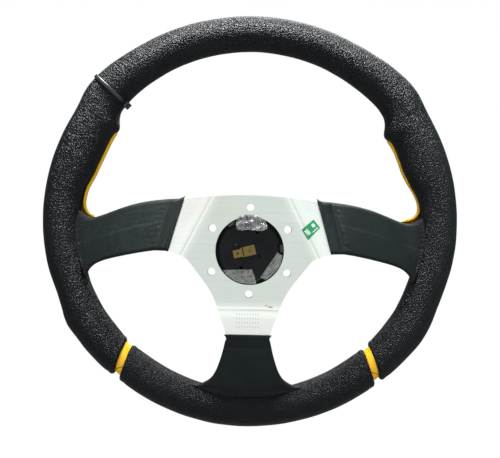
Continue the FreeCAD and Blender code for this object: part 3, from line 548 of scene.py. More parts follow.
def window(t, centre, half):
    x = np.clip(np.abs(t - centre) / half, 0, 1)
    return (1 - x * x) ** 2


def rim_point(t, th, shrink=0.0, scale=1.0, detail=True):
    """Points on the grip, t degrees from the top (plus towards -X), th radians round the section (0 outward, quarter turn to the rear). mm."""
    t = np.asarray(t, float)
    th = np.asarray(th, float)
    ro, ri = r_out(t), r_in(t)
    rc, a = (ro + ri) / 2, (ro - ri) / 2
    b = HB + 0.6 * (window(np.abs(t), 66, 22)) - 0.25
    if detail:
        key = np.stack([np.sin(np.radians(t)) * 160 + 20 * np.cos(th), 20 * np.sin(th), np.cos(np.radians(t)) * 160], -1).reshape(-1, 3)
        wob = (0.30 * pnoise(key, 34.0, 3.1) + 0.16 * pnoise(key, 13.0, 9.7)).reshape(t.shape)
    else:
        wob = np.zeros(t.shape)
    a2 = (a - shrink) * scale
    b2 = (b - shrink) * scale
    c, s = np.cos(th), np.sin(th)
    n = 2.12
    q = (np.abs(c) ** n + np.abs(s) ** n) ** (-1 / n)
    r = rc + (a2 * q + wob * scale) * c
    y = (b2 * q + wob * scale) * s
    tr = np.radians(t)
    return np.stack([-r * np.sin(tr), RC[1] * 1000 + y, RC[2] * 1000 + r * np.cos(tr)], -1)


def wrinkles(P, t, th):
    """Creases of the wrap: fans at both thumb knobs, and short folds beside the spokes. Returns a push along the normal, mm."""
    out = np.zeros(t.shape)
    key = P.reshape(-1, 3)
    warp = pnoise(key, 7.0, 5.5).reshape(t.shape)
    warp2 = pnoise(key, 3.2, 1.5).reshape(t.shape)
    arc = np.radians(t) * 158
    deg = np.degrees(th) % 360
    for side, centre, amp in ((1, 58.0, 0.46), (-1, 57.0, 0.40)):
        m = window(t * side, centre, 11) * window(deg, 112, 62)
        wave = np.abs(np.sin(np.pi * (arc * side + 1.5 * warp * 2 + 0.35 * (deg - 110) / 20) / 2.5 + warp2 * 0.9))
        out += m * amp * ((1 - wave) ** 1.5 * -1.0 + 0.25) * (0.55 + 0.45 * warp2)
        m = window(t * side, centre - 9, 10) * window(deg, 105, 50)
        out += m * 0.22 * warp2
    for side, centre in ((1, 94.5), (-1, 92.0)):
        m = window(t * side, centre, 6.5) * window(deg, 138, 34)
        wave = np.abs(np.sin(np.pi * (arc * side * 0.8 + (deg - 130) * 0.10 + 1.6 * warp) / 2.2))
        out += m * 0.42 * ((1 - wave) ** 1.4 * -1.0 + 0.25)
    for side, centre in ((1, 107.0), (-1, 105.0)):
        m = window(t * side, centre, 6) * window(deg, 135, 40)
        wave = np.abs(np.sin(np.pi * (arc * side * 0.7 - (deg - 130) * 0.11 + 1.6 * warp) / 2.8))
        out += m * 0.28 * ((1 - wave) ** 1.4 * -1.0 + 0.25)
    for side, centre in ((1, 160.0), (-1, 160.0)):
        m = window(t * side, centre, 8) * window(deg, 140, 45)
        wave = np.abs(np.sin(np.pi * (arc * side * 0.9 + (deg - 130) * 0.10 + 1.8 * warp) / 2.9))
        out += m * 0.24 * ((1 - wave) ** 1.4 * -1.0 + 0.25)
    return out


GAP_N = {1: np.array([-0.929, 0.0, 0.371]), -1: np.array([0.929, 0.0, 0.371])}   # by side: 1 is -X
GAP_D = 62.2


def t_on_plane(th, side, off, shrink, scale):
    """Angle t at which a line along the grip crosses the gap's plane, off mm above (+, upper grip) or below it."""
    th = np.asarray(th, float)
    lo = np.full(th.shape, 120.0)
    hi = np.full(th.shape, 158.0)
    # n.P falls from the upper grip to the lower one as t grows
    for _ in range(34):
        mid = (lo + hi) / 2
        P = rim_point(mid * side, th, shrink, scale, False)
        v = P @ GAP_N[side] - GAP_D - off
        lo = np.where(v > 0, mid, lo)
        hi = np.where(v > 0, hi, mid)
    return (lo + hi) / 2


RHO = 2.3


def grip_rows(upper, shrink, nt, th, inset, rho):
    """Rows of points from one end of a grip to the other, with each point's distance beyond the gap planes at its ends.
    """
    sgn = 1 if upper else -1
    rows = []
    end1 = t_on_plane(th, 1, sgn * (3.0 + inset), shrink, 1.0)
    end0 = t_on_plane(th, -1, sgn * (3.0 + inset), shrink, 1.0)
    if upper:
        a, b = -end0, end1
    else:
        a, b = end1, 360 - end0
    s = np.linspace(0, 1, nt)
    near = np.array([0, 0.0006, 0.0014, 0.0024, 0.0036, 0.0050, 0.0068, 0.0090])
    s = np.unique(np.round(np.r_[near, s[(s > 0.0105) & (s < 0.9895)], 1 - near], 7))
    for k in s:
        t = a + (b - a) * k
        P = rim_point(t, th, shrink, 1.0, True)
        rows.append((t, P))
    T = np.array([r[0] for r in rows])
    P = np.array([r[1] for r in rows])
    d1 = sgn * (P @ GAP_N[1] - GAP_D) - 3.0 - inset
    d2 = sgn * (P @ GAP_N[-1] - GAP_D) - 3.0 - inset
    x = np.where(T > 180, T - 360, T)
    d = np.where(np.abs(x) > 90, np.where(x > 0, d1, d2), 1e3)
    return T, P, np.clip(d, 0, 1e9)


def normals_of(P):
    du = np.gradient(P, axis=0)
    dv = (np.roll(P, -1, axis=1) - np.roll(P, 1, axis=1)) / 2
    n = np.cross(du, dv)
    return n / np.maximum(np.linalg.norm(n, axis=2, keepdims=True), 1e-9)


def centre_of(T):
    rc = (r_out(T) + r_in(T)) / 2
    tr = np.radians(T)
    return np.stack([-rc * np.sin(tr), np.full(T.shape, RC[1] * 1000), RC[2] * 1000 + rc * np.cos(tr)], -1)


def build_grip(name, upper, mat, nt, nth, shrink=0.0, thick=1.2, folds=True):
    """A closed sleeve: outer face, ends rolled in to the band, inner face."""
    th = np.linspace(0, 2 * np.pi, nth, endpoint=False)
    T, P, d = grip_rows(upper, shrink, nt, th, 0.0 if folds else 0.9, RHO)
    C = centre_of(T)
    out = P - C
    out /= np.linalg.norm(out, axis=2, keepdims=True)
    push = np.zeros(T.shape)
    if folds:
        TH = np.broadcast_to(th, T.shape)
        tt = np.where(T > 180, T - 360, T)
        push = wrinkles(P, tt, TH)
        # a shallow dip along the wrap's seam on the driver's inner side
        deg = np.degrees(TH)
        push -= 0.35 * np.exp(-((deg - 222) / 3.2) ** 2)
        # the wrap pulls in a little before it rolls over at each end
        push -= 0.25 * np.exp(-((d - 5.0) / 1.8) ** 2)
    rho = RHO
    roll_in = np.where(d < rho, rho - np.sqrt(np.maximum(rho ** 2 - (rho - d) ** 2, 0)), 0)
    outer = P + out * (push - roll_in)[..., None]
    rows = [outer]
    # inner face, from the far end back
    Q = P - out * (thick + 0.0)[..., None] if hasattr(thick, "shape") else P - out * thick
    R = np.linalg.norm(P - C, axis=2, keepdims=True)

    def ring(idx, radius):
        c = C[idx]
        return c + out[idx] * radius

    last, first = len(T) - 1, 0
    endrow_b = [outer[last] - out[last] * 0.0]
    mid_b = ring(last, 12.6)
    mid_a = ring(first, 12.6)
    n_in = 4
    keep = [i for i in range(0, len(T), n_in)]
    inner = Q[keep][::-1]
    stack = np.concatenate([outer, mid_b[None], inner, mid_a[None]], 0)
    nr = stack.shape[0]
    faces = grid_faces(nr, nth, True, True)
    return make(name, stack.reshape(-1, 3) * MM, faces, mat)


NT_U, NT_L, NTH = 1150, 420, 88
grip_upper = build_grip("rim_wrap_upper", True, RIM_LEATHER, NT_U, NTH)
grip_lower = build_grip("rim_wrap_lower", False, RIM_LEATHER, NT_L, NTH)
foam_u = build_grip("foam_core_upper", True, FOAM, 240, 40, shrink=1.35, thick=4.0, folds=False)
foam_l = build_grip("foam_core_lower", False, FOAM, 110, 40, shrink=1.35, thick=4.0, folds=False)
for o, nodes, slot in ((grip_upper, ["grip_skin_upper"], "grained_leatherette"), (grip_lower, ["grip_skin_lower"], "grained_leatherette"), (foam_u, ["foam_upper"], "grip_foam"), (foam_l, ["foam_lower"], "grip_foam")):
    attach(o, "wheel")
    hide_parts(*nodes)

# ------------------------------------------------------------------ spoke covers
DIRS = [(math.cos(math.radians(27)), math.sin(math.radians(27))), (-math.cos(math.radians(27)), math.sin(math.radians(27))), (0.0, -1.0)]
U0, U1, DROP = 47.0, 119.0, 33.5


def plate_y(x, z, arm=None):
    u = [x * c + z * q for c, q in DIRS]
    u = np.maximum.reduce(u) if arm is None else u[arm]
    return -DROP * np.clip((u - U0) / (U1 - U0), 0, 1)


def soft_plate_y(x, z, arm):
    e = 2.2
    return (plate_y(x - e * DIRS[arm][0], z - e * DIRS[arm][1], arm) + plate_y(x, z, arm) * 2 + plate_y(x + e * DIRS[arm][0], z + e * DIRS[arm][1], arm)) / 4


def coons(T, B, L, R, nu, nv):
    u = np.linspace(0, 1, nu)[:, None, None]
    v = np.linspace(0, 1, nv)[None, :, None]
    T, B = T[:, None, :], B[:, None, :]
    L, R = L[None, :, :], R[None, :, :]
    return (1 - v) * T + v * B + (1 - u) * L + u * R - ((1 - u) * (1 - v) * L[:, :1] + u * (1 - v) * R[:, :1] + (1 - u) * v * L[:, -1:] + u * v * R[:, -1:])


def arc_end(p, q, n, radius=147.2):
    """The end of a cover on the grip: from p to q, bulging out to radius between them."""
    a0 = math.atan2(p[0], p[1] - 24)
    a1 = math.atan2(q[0], q[1] - 24)
    if a0 < 0 and a1 > 2.5:
        a0 += 2 * math.pi
    if a1 < 0 and a0 > 2.5:
        a1 += 2 * math.pi
    a = np.linspace(a0, a1, n)
    k = np.linspace(0, 1, n)
    edge = np.hypot(p[0], p[1] - 24) * (1 - k) + np.hypot(q[0], q[1] - 24) * k
    rr = edge + (radius - edge) * np.clip(np.sin(np.pi * k), 0, 1) ** 0.55
    return np.stack([rr * np.sin(a), 24 + rr * np.cos(a)], 1)


def tube_height(x, z, extra):
    """Height of the grip's surface above its middle plane where (x, z) lies over it; falls away smoothly outside."""
    t = np.degrees(np.arctan2(-x, z - 24))
    r = np.hypot(x, z - 24)
    ri, ro = r_in(t), r_out(t)
    a, rc = (ro - ri) / 2, (ro + ri) / 2
    k = 1 - ((rc - r) / a) ** 2
    return np.where(k > 0, HB * np.sqrt(np.maximum(k, 0)), -12 * (np.maximum((rc - r) / a, 1) - 1) * 8) + extra


def build_cover(name, arm, side, T, B, valley, seam, puff, nu=150, nv=64, hem_seed=0.0, T_in=None, B_in=None):
    """A leatherette sleeve over one arm: hemmed edge on the plate, a fold, a padded body with rolled sides, flowing on to the grip.
    side 1 keeps x, -1 mirrors it. T and B are the two long edges from hub to rim."""
    T = spline(T, nu)
    B = spline(B, nu)
    nvv = nv
    L = np.linspace(T[0], B[0], nvv)
    R = arc_end(T[-1], B[-1], nvv)
    T[-1], B[-1] = R[0], R[-1]
    G = coons(T, B, L, R, nu, nvv)
    # extra sampling towards both long edges
    v = np.linspace(0, 1, nvv)
    vv = 0.5 - 0.5 * np.cos(np.pi * v)
    vv = 0.65 * vv + 0.35 * v
    idx = vv * (nvv - 1)
    i0 = np.floor(idx).astype(int).clip(0, nvv - 2)
    f = (idx - i0)[None, :, None]
    G = G[:, i0] * (1 - f) + G[:, i0 + 1] * f
    X, Z = G[..., 0] * side, G[..., 1]
    width = np.linalg.norm(G[:, 0] - G[:, -1], axis=1)[:, None]
    edge = np.minimum(vv, 1 - vv)[None, :] * width
    s = np.r_[0, np.cumsum(np.linalg.norm(np.diff(G.mean(axis=1), axis=0), axis=1))][:, None] * np.ones_like(X)
    total = s.max()
    total_row = s[-1:, :]
    surf = soft_plate_y(X, Z, arm)
    mid = surf - 1.5
    key = np.stack([X, Z, np.zeros_like(X) + 40 * arm], -1).reshape(-1, 3)
    wob = 0.22 * pnoise(key, 15.0, 2.0 + hem_seed).reshape(X.shape) + 0.10 * pnoise(key, 5.5, 4.0 + hem_seed).reshape(X.shape)
    # height of the rear face above the plate's rear face, mm
    across = np.sin(np.pi * vv)[None, :] * np.ones_like(X)
    body = puff * (0.75 + 0.25 * across)
    rise = 1 / (1 + np.exp(-(s - valley[0] - 3.0) / 1.3))
    h = 1.25 * (1 - rise) + body * rise
    h += 0.35 * np.exp(-((s - 1.6) / 1.1) ** 2)                       # rolled hem lip
    h -= valley[1] * np.exp(-((s - valley[0]) / valley[2]) ** 2) * (0.75 + 0.25 * across)
    if seam:
        # a faint ridge along the middle where two layers overlap under the skin
        mid_v = 0.42 + 0.05 * np.sin(2.0 * s / total)
        h += 0.28 / (1 + np.exp(-((vv[None, :] - mid_v) * width) / 0.45)) * rise * (s < total * 2)
        h -= 0.16 * np.exp(-(((vv[None, :] - mid_v) * width) / 0.7) ** 2) * rise
    # short drag folds beside the valley
    fold = np.abs(np.sin(np.pi * (vv[None, :] * width + 2.5 * wob * 4) / 4.6))
    h -= 0.22 * (1 - fold) ** 2 * np.exp(-((s - valley[0] - 5.5) / 4.0) ** 2)
    h += wob * rise
    rear = mid + 1.5 + h
    front = mid - 1.5 - (puff * 0.8 * rise + 1.2 * (1 - rise) + 0.35 * np.exp(-((s - 1.6) / 1.1) ** 2) + wob * 0.6)
    th = tube_height(X, Z, 0.22)
    rear = smax(rear, RC[1] * 1000 + th, 4.2)
    front = -smax(-front, -(RC[1] * 1000 - th), 4.2)
    # the end tucks under the grip's edge
    rr = np.hypot(X, Z - 24)
    tuck = np.clip((s - total_row + 1.2) / 1.2, 0, 1)
    rear -= 0.75 * tuck ** 2
    front += 0.9 * tuck ** 2
    # side rolls
    rc = np.minimum(3.1, 0.5 * width)
    e = np.clip(edge / rc, 0, 1)
    roll = np.sqrt(np.maximum(1 - (1 - e) ** 2, 0))
    rear = mid + (rear - mid) * roll
    front = mid + (front - mid) * roll
    # hub edge lip is rounded over
    lip = np.clip(s / 0.7, 0, 1)
    k = np.sqrt(1 - (1 - lip) ** 2)
    rear = (mid + 1.5) + (rear - mid - 1.5) * (0.25 + 0.75 * k)
    front = (mid - 1.5) + (front - mid + 1.5) * (0.25 + 0.75 * k)
    nv2 = nvv
    rows = []
    inner_rows = []
    Ti = spline(T_in, nu)
    Bi = spline(B_in, nu)
    Li = np.linspace(Ti[0], Bi[0], nvv)
    Ri = arc_end(Ti[-1], Bi[-1], nvv, 146.8)
    Gi = coons(Ti, Bi, Li, Ri, nu, nvv)
    Gi = Gi[:, i0] * (1 - f) + Gi[:, i0 + 1] * f
    Xi, Zi = Gi[..., 0] * side, Gi[..., 1]
    surf_i = plate_y(Xi, Zi, arm)
    for i in range(nu):
        rear_row = np.stack([X[i], rear[i], Z[i]], -1)
        front_row = np.stack([X[i], front[i], Z[i]], -1)[::-1][1:-1]
        rows.append(np.concatenate([rear_row, front_row], 0))
        ri_row = np.stack([Xi[i], surf_i[i] + 0.06, Zi[i]], -1)
        fi_row = np.stack([Xi[i], surf_i[i] - 3.06, Zi[i]], -1)[::-1][1:-1]
        inner_rows.append(np.concatenate([ri_row, fi_row], 0))
    stack = np.array(rows + inner_rows[::-1])
    nr, nc = stack.shape[:2]
    return make(name, stack.reshape(-1, 3) * MM, grid_faces(nr, nc, True, True), COVER_LEATHER)


SIDE_T = [(53.6, 43.2), (55.4, 42.0), (58.2, 41.0), (64, 40.7), (70, 40.3), (85, 38.5), (100, 35.2), (114, 30.5), (124, 26.7), (131, 24.6), (136.5, 25.2), (140.6, 27.6), (143.6, 30.6)]
SIDE_B = [(66.2, -2.2), (69, -1.4), (73, -1.5), (79, -2.0), (89, -3.6), (104, -6.7), (118, -10.2), (127, -13.6), (132.2, -17.6), (134.9, -22.0), (136.2, -25.6)]
PLATE_T = [(54.9, 40.1), (76, 36.75), (113, 25.9), (146.4, 15.5)]
PLATE_B = [(65.6, -1.75), (84, -1.95), (115, -5.3), (146.4, -9.0)]
cover_left_image = build_cover("spoke_wrap_right", 0, 1, SIDE_T, SIDE_B, (10.5, 0.35, 0.9), True, 2.5, hem_seed=0.0, T_in=PLATE_T, B_in=PLATE_B)
cover_right_image = build_cover("spoke_wrap_left", 1, -1, SIDE_T, SIDE_B, (11.0, 1.15, 2.3), True, 2.9, hem_seed=7.0, T_in=PLATE_T, B_in=PLATE_B)
LOW_T = [(19.5, -69.0), (18.3, -70.7), (18.0, -72.6), (18.9, -76.4), (20.6, -84), (23.2, -93), (26.2, -101), (29.6, -106.6), (34.0, -110.2), (39.6, -112.8), (45.5, -113.3)]
LOW_B = [(-x, z) for x, z in LOW_T]
PLATE_LT = [(17.8, -70.0), (14.1, -112), (12.6, -123.0)]
PLATE_LB = [(-x, z) for x, z in PLATE_LT]
cover_low = build_cover("spoke_wrap_lower", 2, 1, LOW_T, LOW_B, (10.5, 0.55, 1.1), False, 2.6, hem_seed=13.0, nu=110, nv=64, T_in=PLATE_LT, B_in=PLATE_LB)
for o, node in ((cover_left_image, "spoke_cover_right"), (cover_right_image, "spoke_cover_left"), (cover_low, "spoke_cover_lower")):
    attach(o, "wheel")
    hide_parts(node)

# ------------------------------------------------------------------ thumb inserts


def build_insert(name, side, pts):
    """A yellow leatherette strip along the inner edge of a thumb rest, facing the driver, with its edges tucked into the seam."""
    n, m = 150, 26
    C = spline(pts, n)                 # (t, r) -> x, z in mm, right side
    X = np.array([p[0] for p in C])
    Z = np.array([p[1] for p in C])
    d = np.gradient(C, axis=0)
    d /= np.linalg.norm(d, axis=1, keepdims=True)
    nrm = np.stack([d[:, 1], -d[:, 0]], 1)
    mid = np.stack([X * 0, Z * 0 + 24], 1) - C
    flip = np.sign((nrm * mid).sum(1))
    nrm = nrm * flip[:, None]
    s = np.r_[0, np.cumsum(np.linalg.norm(np.diff(C, axis=0), axis=1))]
    s /= s[-1]
    ends = np.minimum(1, np.minimum(s / 0.06, (1 - s) / 0.10)).clip(0, 1)
    ends = np.sqrt(1 - (1 - ends) ** 2)
    A = 19.0 - 12.5 * np.clip((s - 0.70) / 0.22, 0, 1) ** 1.2
    A = A * (0.55 + 0.45 * np.clip(s / 0.10, 0, 1))
    B = 15.6 - 11.4 * np.clip((s - 0.70) / 0.24, 0, 1) ** 1.1
    psi = np.radians(np.linspace(-4, 74, m))
    rows_o, rows_i = [], []
    for j, p in enumerate(psi):
        q = j / (m - 1)
        tuck = np.exp(-(q / 0.055) ** 2) + np.exp(-((1 - q) / 0.06) ** 2)
        proud = 0.45 + 0.85 * max(0.0, math.sin(2 * p))
        lift = (proud - (0.5 + proud) * tuck) * ends - 0.9 * (1 - ends)
        for rows, off in ((rows_o, 0.0), (rows_i, -1.1)):
            depth = A * (1 - math.cos(p)) - (lift + off) * math.cos(p)
            yy = RC[1] * 1000 - (B + lift + off) * math.sin(p)
            P2 = C - nrm * depth[:, None]
            rows.append(np.stack([P2[:, 0] * side, yy, P2[:, 1]], -1))
    o = np.array(rows_o)
    i = np.array(rows_i)[::-1]
    loop = np.concatenate([o, i], 0)            # (2m, n, 3)
    loop = np.transpose(loop, (1, 0, 2))        # n stations, each a closed section
    n1, c1 = loop.shape[:2]
    faces = grid_faces(n1, c1, False, True)
    faces += [tuple(range(c1))[::-1], tuple((n1 - 1) * c1 + k for k in range(c1))]
    return make(name, loop.reshape(-1, 3) * MM, faces, YELLOW_LEATHER)


def polar(points):
    return [(r * math.sin(math.radians(t)), 24 + r * math.cos(math.radians(t))) for t, r in points]


# silhouette of the yellow edge, mm: right of the rear view (-X) and left of it (+X)
YEL_R = polar([(58.0, 134.2), (59.7, 134.9), (61.7, 135.1), (64, 135.2), (67.5, 134.9), (70.8, 134.8), (74, 136.0), (76.3, 137.6), (78.7, 139.8), (80.7, 141.3), (82.7, 142.4), (84.2, 142.5), (85.6, 142.0), (86.6, 140.6), (87.4, 138.6), (88.0, 135.8), (88.4, 131.9), (88.6, 127.5)])
YEL_L = polar([(57.6, 134.9), (59.5, 135.5), (62.5, 135.2), (67, 135.0), (71.5, 135.7), (74.6, 136.5), (77.5, 138.2), (79.6, 139.6), (81.5, 140.3), (83, 140.6), (84.9, 140.6), (86.6, 139.6), (88.0, 137.5), (88.9, 134.5), (89.3, 131.0)])
ins_left = build_insert("thumb_pad_left", -1, YEL_R)
ins_right = build_insert("thumb_pad_right", 1, YEL_L)
for o, node in ((ins_left, "thumb_insert_left"), (ins_right, "thumb_insert_right")):
    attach(o, "wheel")
    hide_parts(node)

# ------------------------------------------------------------------ cable tie


def build_tie():
    t0 = -48.0
    n = 220
    th = np.linspace(0, 2 * np.pi, n, endpoint=False)
    deg = np.degrees(th)
    half = 1.6
    # toothed outer face between the outer side and the rear middle
    teeth = window(deg, 66, 62) > 0.02
    saw = ((th * 15.5) / 1.15) % 1.0
    ridge = np.where(teeth, 0.35 * (1 - saw), 0.0)
    prof = [(-half, 0.15), (-half, 0.85), (-half + 0.35, 1.15), (half - 0.35, 1.15), (half, 0.85), (half, 0.15), (half - 0.3, -0.05), (-half + 0.3, -0.05)]
    rows = []
    for w, h in prof:
        t = np.full(n, t0) + np.degrees(w / 159.0)
        P = rim_point(t, th, 0, 1.0, True)
        C = centre_of(t)
        out = P - C
        out /= np.linalg.norm(out, axis=1, keepdims=True)
        add = h + (ridge if h > 1.0 else 0)
        rows.append(P + out * (np.asarray(add) * np.ones(n))[:, None])
    stack = np.transpose(np.array(rows), (1, 0, 2))
    strap = make("tie_strap", stack.reshape(-1, 3) * MM, grid_faces(n, len(prof), True, True), NYLON)
    # head block, a rounded box with the strap's slot and the cut tail standing out of it
    tr = math.radians(t0)
    rad = Vector((-math.sin(tr), 0, math.cos(tr)))
    tan = Vector((-math.cos(tr), 0, -math.sin(tr)))
    bm = bmesh.new()
    bmesh.ops.create_cube(bm, size=1.0)
    for v in bm.verts:
        v.co = Vector((v.co.x * 5.4, v.co.y * 5.0, v.co.z * 4.2))
    bmesh.ops.bevel(bm, geom=[e for e in bm.edges], offset=0.7, segments=3, affect="EDGES", profile=0.6)
    top = max((f for f in bm.faces), key=lambda f: f.calc_center_median().z)
    r = bmesh.ops.inset_region(bm, faces=[top], thickness=0.9, depth=0.0)
    bmesh.ops.translate(bm, verts=list(top.verts), vec=(0, 0, -0.9))
    me = bpy.data.meshes.new("tie_head")
    bm.to_mesh(me)
    bm.free()
    head = bpy.data.objects.new("tie_head", me)
    bpy.context.scene.collection.objects.link(head)
    me.materials.append(NYLON)
    me.polygons.foreach_set("use_smooth", [False] * len(me.polygons))
    ang = math.radians(163)
    p = rim_point(np.array([t0]), np.array([ang]), 0, 1.0, False)[0]
    c = centre_of(np.array([t0]))[0]
    outv = Vector(p - c).normalized()
    # local axes: x along the strap's width (the rim's tangent), z away from the grip
    zax = outv
    xax = tan.normalized()
    yax = zax.cross(xax).normalized()
    mat = Matrix((xax, yax, zax)).transposed().to_4x4()
    place = (Vector(p) + outv * 2.5)
    me.transform(Matrix.Diagonal((1, 1, 1, 1)))
    me.transform(mat)
    me.transform(Matrix.Translation(place))
    me.transform(Matrix.Scale(MM, 4))
    # tail: a short cut end leaving the head, bent away from the grip
    bm = bmesh.new()
    pts = []
    for k in range(10):
        q = k / 9
        pts.append(Vector(p) + outv * (2.2 + 0.5 * q + 2.0 * q * q) - yax * (-2.0 - 5.2 * q))
    rings = []
    for k, c0 in enumerate(pts):
        ring = []
        w = 1.5 - 0.1 * (k == 9)
        for a, b in ((-w, -0.5), (w, -0.5), (w, 0.35), (w - 0.3, 0.55), (-w + 0.3, 0.55), (-w, 0.35)):
            ring.append(bm.verts.new((c0 + xax * a + outv * (b + (0.12 if k % 2 else 0) * (b > 0))) * MM))
        rings.append(ring)
    for a, b in zip(rings, rings[1:]):
        for i in range(6):
            bm.faces.new((a[i], a[(i + 1) % 6], b[(i + 1) % 6], b[i]))
    bm.faces.new(rings[0][::-1])
    bm.faces.new(rings[-1])
    bmesh.ops.recalc_face_normals(bm, faces=bm.faces)
    me = bpy.data.meshes.new("tie_tail")
    bm.to_mesh(me)
    bm.free()
    me.materials.append(NYLON)
    tail = bpy.data.objects.new("tie_tail", me)
    bpy.context.scene.collection.objects.link(tail)
    return strap, head, tail


tie = build_tie()
for o in tie:
    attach(o, "wheel")
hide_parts("cable_tie")

# ------------------------------------------------------------------ clear tape


def build_tape(name, poly, y0, amp, size, seed, lift=None, mat=None):
    """A piece of thin film cut to poly (x, z in mm), creased, 0.06 mm thick."""
    bm = bmesh.new()
    vs = [bm.verts.new((x, 0, z)) for x, z in poly]
    bm.faces.new(vs)
    xs, zs = [p[0] for p in poly], [p[1] for p in poly]
    step = 0.45
    for a0, a1, n in ((min(xs), max(xs), (1, 0, 0)), (min(zs), max(zs), (0, 0, 1))):
        k = a0 + step
        while k < a1 - 0.2:
            co = (k, 0, 0) if n[0] else (0, 0, k)
            bmesh.ops.bisect_plane(bm, geom=bm.verts[:] + bm.edges[:] + bm.faces[:], plane_co=co, plane_no=n, dist=1e-5)
            k += step
    bmesh.ops.triangulate(bm, faces=bm.faces)
    for v in bm.verts:
        x, z = v.co.x, v.co.z
        q = Vector((x / size + seed, z / size, seed))
        r1 = abs(noise.noise(q))
        r2 = abs(noise.noise(q * 2.3 + Vector((3, 1, 7))))
        cell = noise.cell(Vector((x / size * 0.8, z / size * 0.8, seed)))
        h = amp * (1.6 * (0.5 - r1) + 0.7 * (0.5 - r2))
        if lift:
            h += lift(x, z)
        v.co.y = y0 + h
    r = bmesh.ops.solidify(bm, geom=bm.faces[:], thickness=0.06)
    bmesh.ops.recalc_face_normals(bm, faces=bm.faces)
    for v in bm.verts:
        v.co *= MM
    me = bpy.data.meshes.new(name)
    bm.to_mesh(me)
    bm.free()
    me.materials.append(mat or TAPE)
    o = bpy.data.objects.new(name, me)
    bpy.context.scene.collection.objects.link(o)
    return o


TOP = [(10.4, 16.6), (11.4, 20.4), (10.8, 24.9), (8.6, 27.4), (4, 28.6), (-2, 28.8), (-6.6, 27.4), (-11.8, 24.4), (-13.6, 20.4), (-13.5, 17.6), (-9.5, 16.1), (-4, 16.0), (2, 16.9), (6, 16.2)]
LOW = [(21.2, -15.9), (9, -15.4), (-2.2, -15), (-4.4, -20.6), (-5.9, -26.4), (0, -27), (9, -25.4), (16, -21.6), (19.2, -18.6)]
SIDE = [(-22.4, -0.8), (-26.6, -3.6), (-25.0, -10.6), (-21, -16.8), (-17, -20.4), (-13.4, -23), (-8.8, -21.4), (-15.4, -11.4)]
tape_a = build_tape("tape_crumpled_top", TOP, -0.45, 1.9, 4.2, 1.7, lift=lambda x, z: 0.7 * max(0.0, (z - 24.5) / 4.0) ** 0.7, mat=TAPE_CREASED)
tape_b = build_tape("tape_film_lower", LOW, -1.20, 0.14, 6.0, 5.2)
tape_c = build_tape("tape_film_side", SIDE, -1.20, 0.16, 5.0, 8.9)
for o, node in ((tape_a, "tape_top"), (tape_b, "tape_lower"), (tape_c, "tape_side")):
    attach(o, "wheel")
    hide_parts(node)

# ------------------------------------------------------------------ stitching along the wrap's seam, driver's side


def build_stitches(name, t_from, t_to, step=3.4):
    bm = bmesh.new()
    n = int((t_to - t_from) / math.degrees(step / 146.0))
    th0 = math.radians(222)
    for k in range(n):
        t = t_from + (t_to - t_from) * (k + 0.5) / n
        tt = t if t <= 180 else t - 360
        pts = []
        for q in np.linspace(-1, 1, 7):
            ta = tt + math.degrees((0.9 * q) / 146.0)
            tha = th0 + (2.1 * q) / 15.5
            P = rim_point(np.array([ta]), np.array([tha]), 0, 1.0, True)[0]
            C = centre_of(np.array([ta]))[0]
            o = (P - C) / np.linalg.norm(P - C)
            pts.append(Vector(P + o * (0.30 * math.sqrt(max(0.0, 1 - q * q)) - 0.32 * abs(q) ** 3)))
        rings = []
        for i, p in enumerate(pts):
            d = (pts[min(i + 1, 6)] - pts[max(i - 1, 0)]).normalized()
            up = Vector((0, -1, 0))
            s = d.cross(up).normalized()
            u = s.cross(d).normalized()
            rad = 0.33
            rings.append([bm.verts.new((p + s * rad * math.cos(a) + u * rad * math.sin(a)) * MM) for a in np.linspace(0, 2 * math.pi, 6, endpoint=False)])
        for a, b in zip(rings, rings[1:]):
            for i in range(6):
                bm.faces.new((a[i], a[(i + 1) % 6], b[(i + 1) % 6], b[i]))
        bm.faces.new(rings[0][::-1])
        bm.faces.new(rings[-1])
    bmesh.ops.recalc_face_normals(bm, faces=bm.faces)
    me = bpy.data.meshes.new(name)
    bm.to_mesh(me)
    bm.free()
    me.polygons.foreach_set("use_smooth", [True] * len(me.polygons))
    me.materials.append(THREAD)
    o = bpy.data.objects.new(name, me)
    bpy.context.scene.collection.objects.link(o)
    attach(o, "wheel")
    return o


st1 = build_stitches("wrap_stitches_top", -51, 56)
st2 = build_stitches("wrap_stitches_side_left", 96, 131)
st3 = build_stitches("wrap_stitches_side_right", -131, -96)
st4 = build_stitches("wrap_stitches_lower_left", 146, 162)
st5 = build_stitches("wrap_stitches_lower_right", 198, 214)

# ------------------------------------------------------------------ the sheet and its label, rolled round the folds


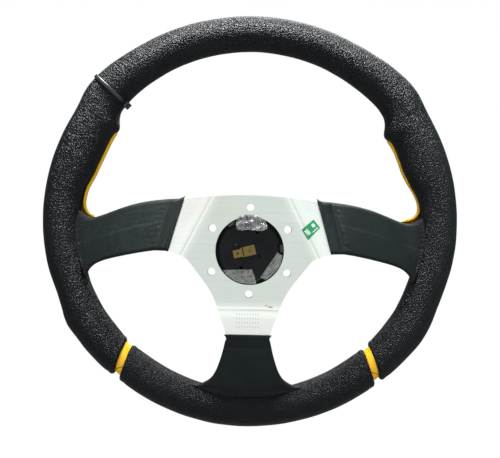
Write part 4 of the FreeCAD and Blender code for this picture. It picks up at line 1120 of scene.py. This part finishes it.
def rolled_copy(node, name, mat):
    """The node's own outline and thickness, with the inner fold line of each arm turned into a rolled bend 16 mm wide.
    """
    w, slope, fold = 0.008, DROP / (U1 - U0), U0 * MM
    me = NODES[node].data.copy()
    me.name = name
    bm = bmesh.new()
    bm.from_mesh(me)
    bmesh.ops.remove_doubles(bm, verts=bm.verts, dist=1e-6)
    for c, q in DIRS:
        for k in np.linspace(-w, w, 17):
            co = Vector((c, 0, q)) * (fold + k)
            near = [f for f in bm.faces if min(v.co.x * c + v.co.z * q for v in f.verts) < fold + k < max(v.co.x * c + v.co.z * q for v in f.verts)]
            geom = set(near)
            for f in near:
                geom.update(f.edges)
                geom.update(f.verts)
            if near:
                bmesh.ops.bisect_plane(bm, geom=list(geom), plane_co=co, plane_no=Vector((c, 0, q)), dist=1e-7)
    for v in bm.verts:
        for c, q in DIRS:
            du = abs(v.co.x * c + v.co.z * q - fold)
            if du < w:
                v.co.y -= slope * (w - du) ** 2 / (4 * w)
    bmesh.ops.triangulate(bm, faces=[f for f in bm.faces if len(f.verts) > 4])
    bmesh.ops.recalc_face_normals(bm, faces=bm.faces)
    bm.to_mesh(me)
    bm.free()
    me.polygons.foreach_set("use_smooth", [True] * len(me.polygons))
    me.set_sharp_from_angle(angle=math.radians(24))
    me.materials.clear()
    me.materials.append(mat)
    o = bpy.data.objects.new(name, me)
    bpy.context.scene.collection.objects.link(o)
    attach(o, "wheel")
    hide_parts(node)
    return o


plate_sheet = rolled_copy("spoke_plate", "plate_sheet", ALU)
label_sheet = rolled_copy("inspection_sticker", "label_film", LABEL)

# ------------------------------------------------------------------ the horn's spring (the real one shortens as the button goes in; here a fixed copy of the CAD coil with the spring steel finish)


def build_spring():
    me = NODES["horn_spring"].data.copy()
    me.name = "spring_coil"
    me.materials.clear()
    me.materials.append(SPRING)
    o = bpy.data.objects.new("spring_coil", me)
    bpy.context.scene.collection.objects.link(o)
    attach(o, "wheel")
    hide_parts("horn_spring")
    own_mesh(o)
    return o


spring = build_spring()

# ------------------------------------------------------------------ CAD nodes keep their shape and get their finish
FINISH = {
    "rim_hoop": HOOP, "arm_rivets": RIVET, "accent_band_right": YELLOW, "accent_band_left": YELLOW,
    "retaining_ring": RING, "horn_housing": HORN, "horn_bezel": BEZEL, "horn_cap": CAP, "moving_contact": BRASS,
    "terminal_rivet": BRASS, "spade_terminal": BRASS, "retaining_clips": CLIP
}
for node, mat in FINISH.items():
    o = NODES[node]
    o.data.materials.clear()
    o.data.materials.append(mat)

# ------------------------------------------------------------------ floor
# the floor is pale to look at, and throws little light back on the wheel
ft = FLOOR.m.node_tree
f_out = [nd for nd in ft.nodes if nd.type == "OUTPUT_MATERIAL"][0]
f_from = f_out.inputs["Surface"].links[0].from_socket
f_path = ft.nodes.new("ShaderNodeLightPath")
f_mix = ft.nodes.new("ShaderNodeMixShader")
f_dim = ft.nodes.new("ShaderNodeBsdfDiffuse")
f_dim.inputs["Color"].default_value = (0.10, 0.10, 0.105, 1)
ft.links.new(f_path.outputs["Is Camera Ray"], f_mix.inputs[0])
ft.links.new(f_dim.outputs[0], f_mix.inputs[1])
ft.links.new(f_from, f_mix.inputs[2])
ft.links.new(f_mix.outputs[0], f_out.inputs["Surface"])
fl = make("floor", [(-1.2, -0.95, -0.45), (1.2, -0.95, -0.45), (1.2, 0.12, -0.45), (-1.2, 0.12, -0.45)], [(0, 1, 2, 3)], FLOOR.m, False)
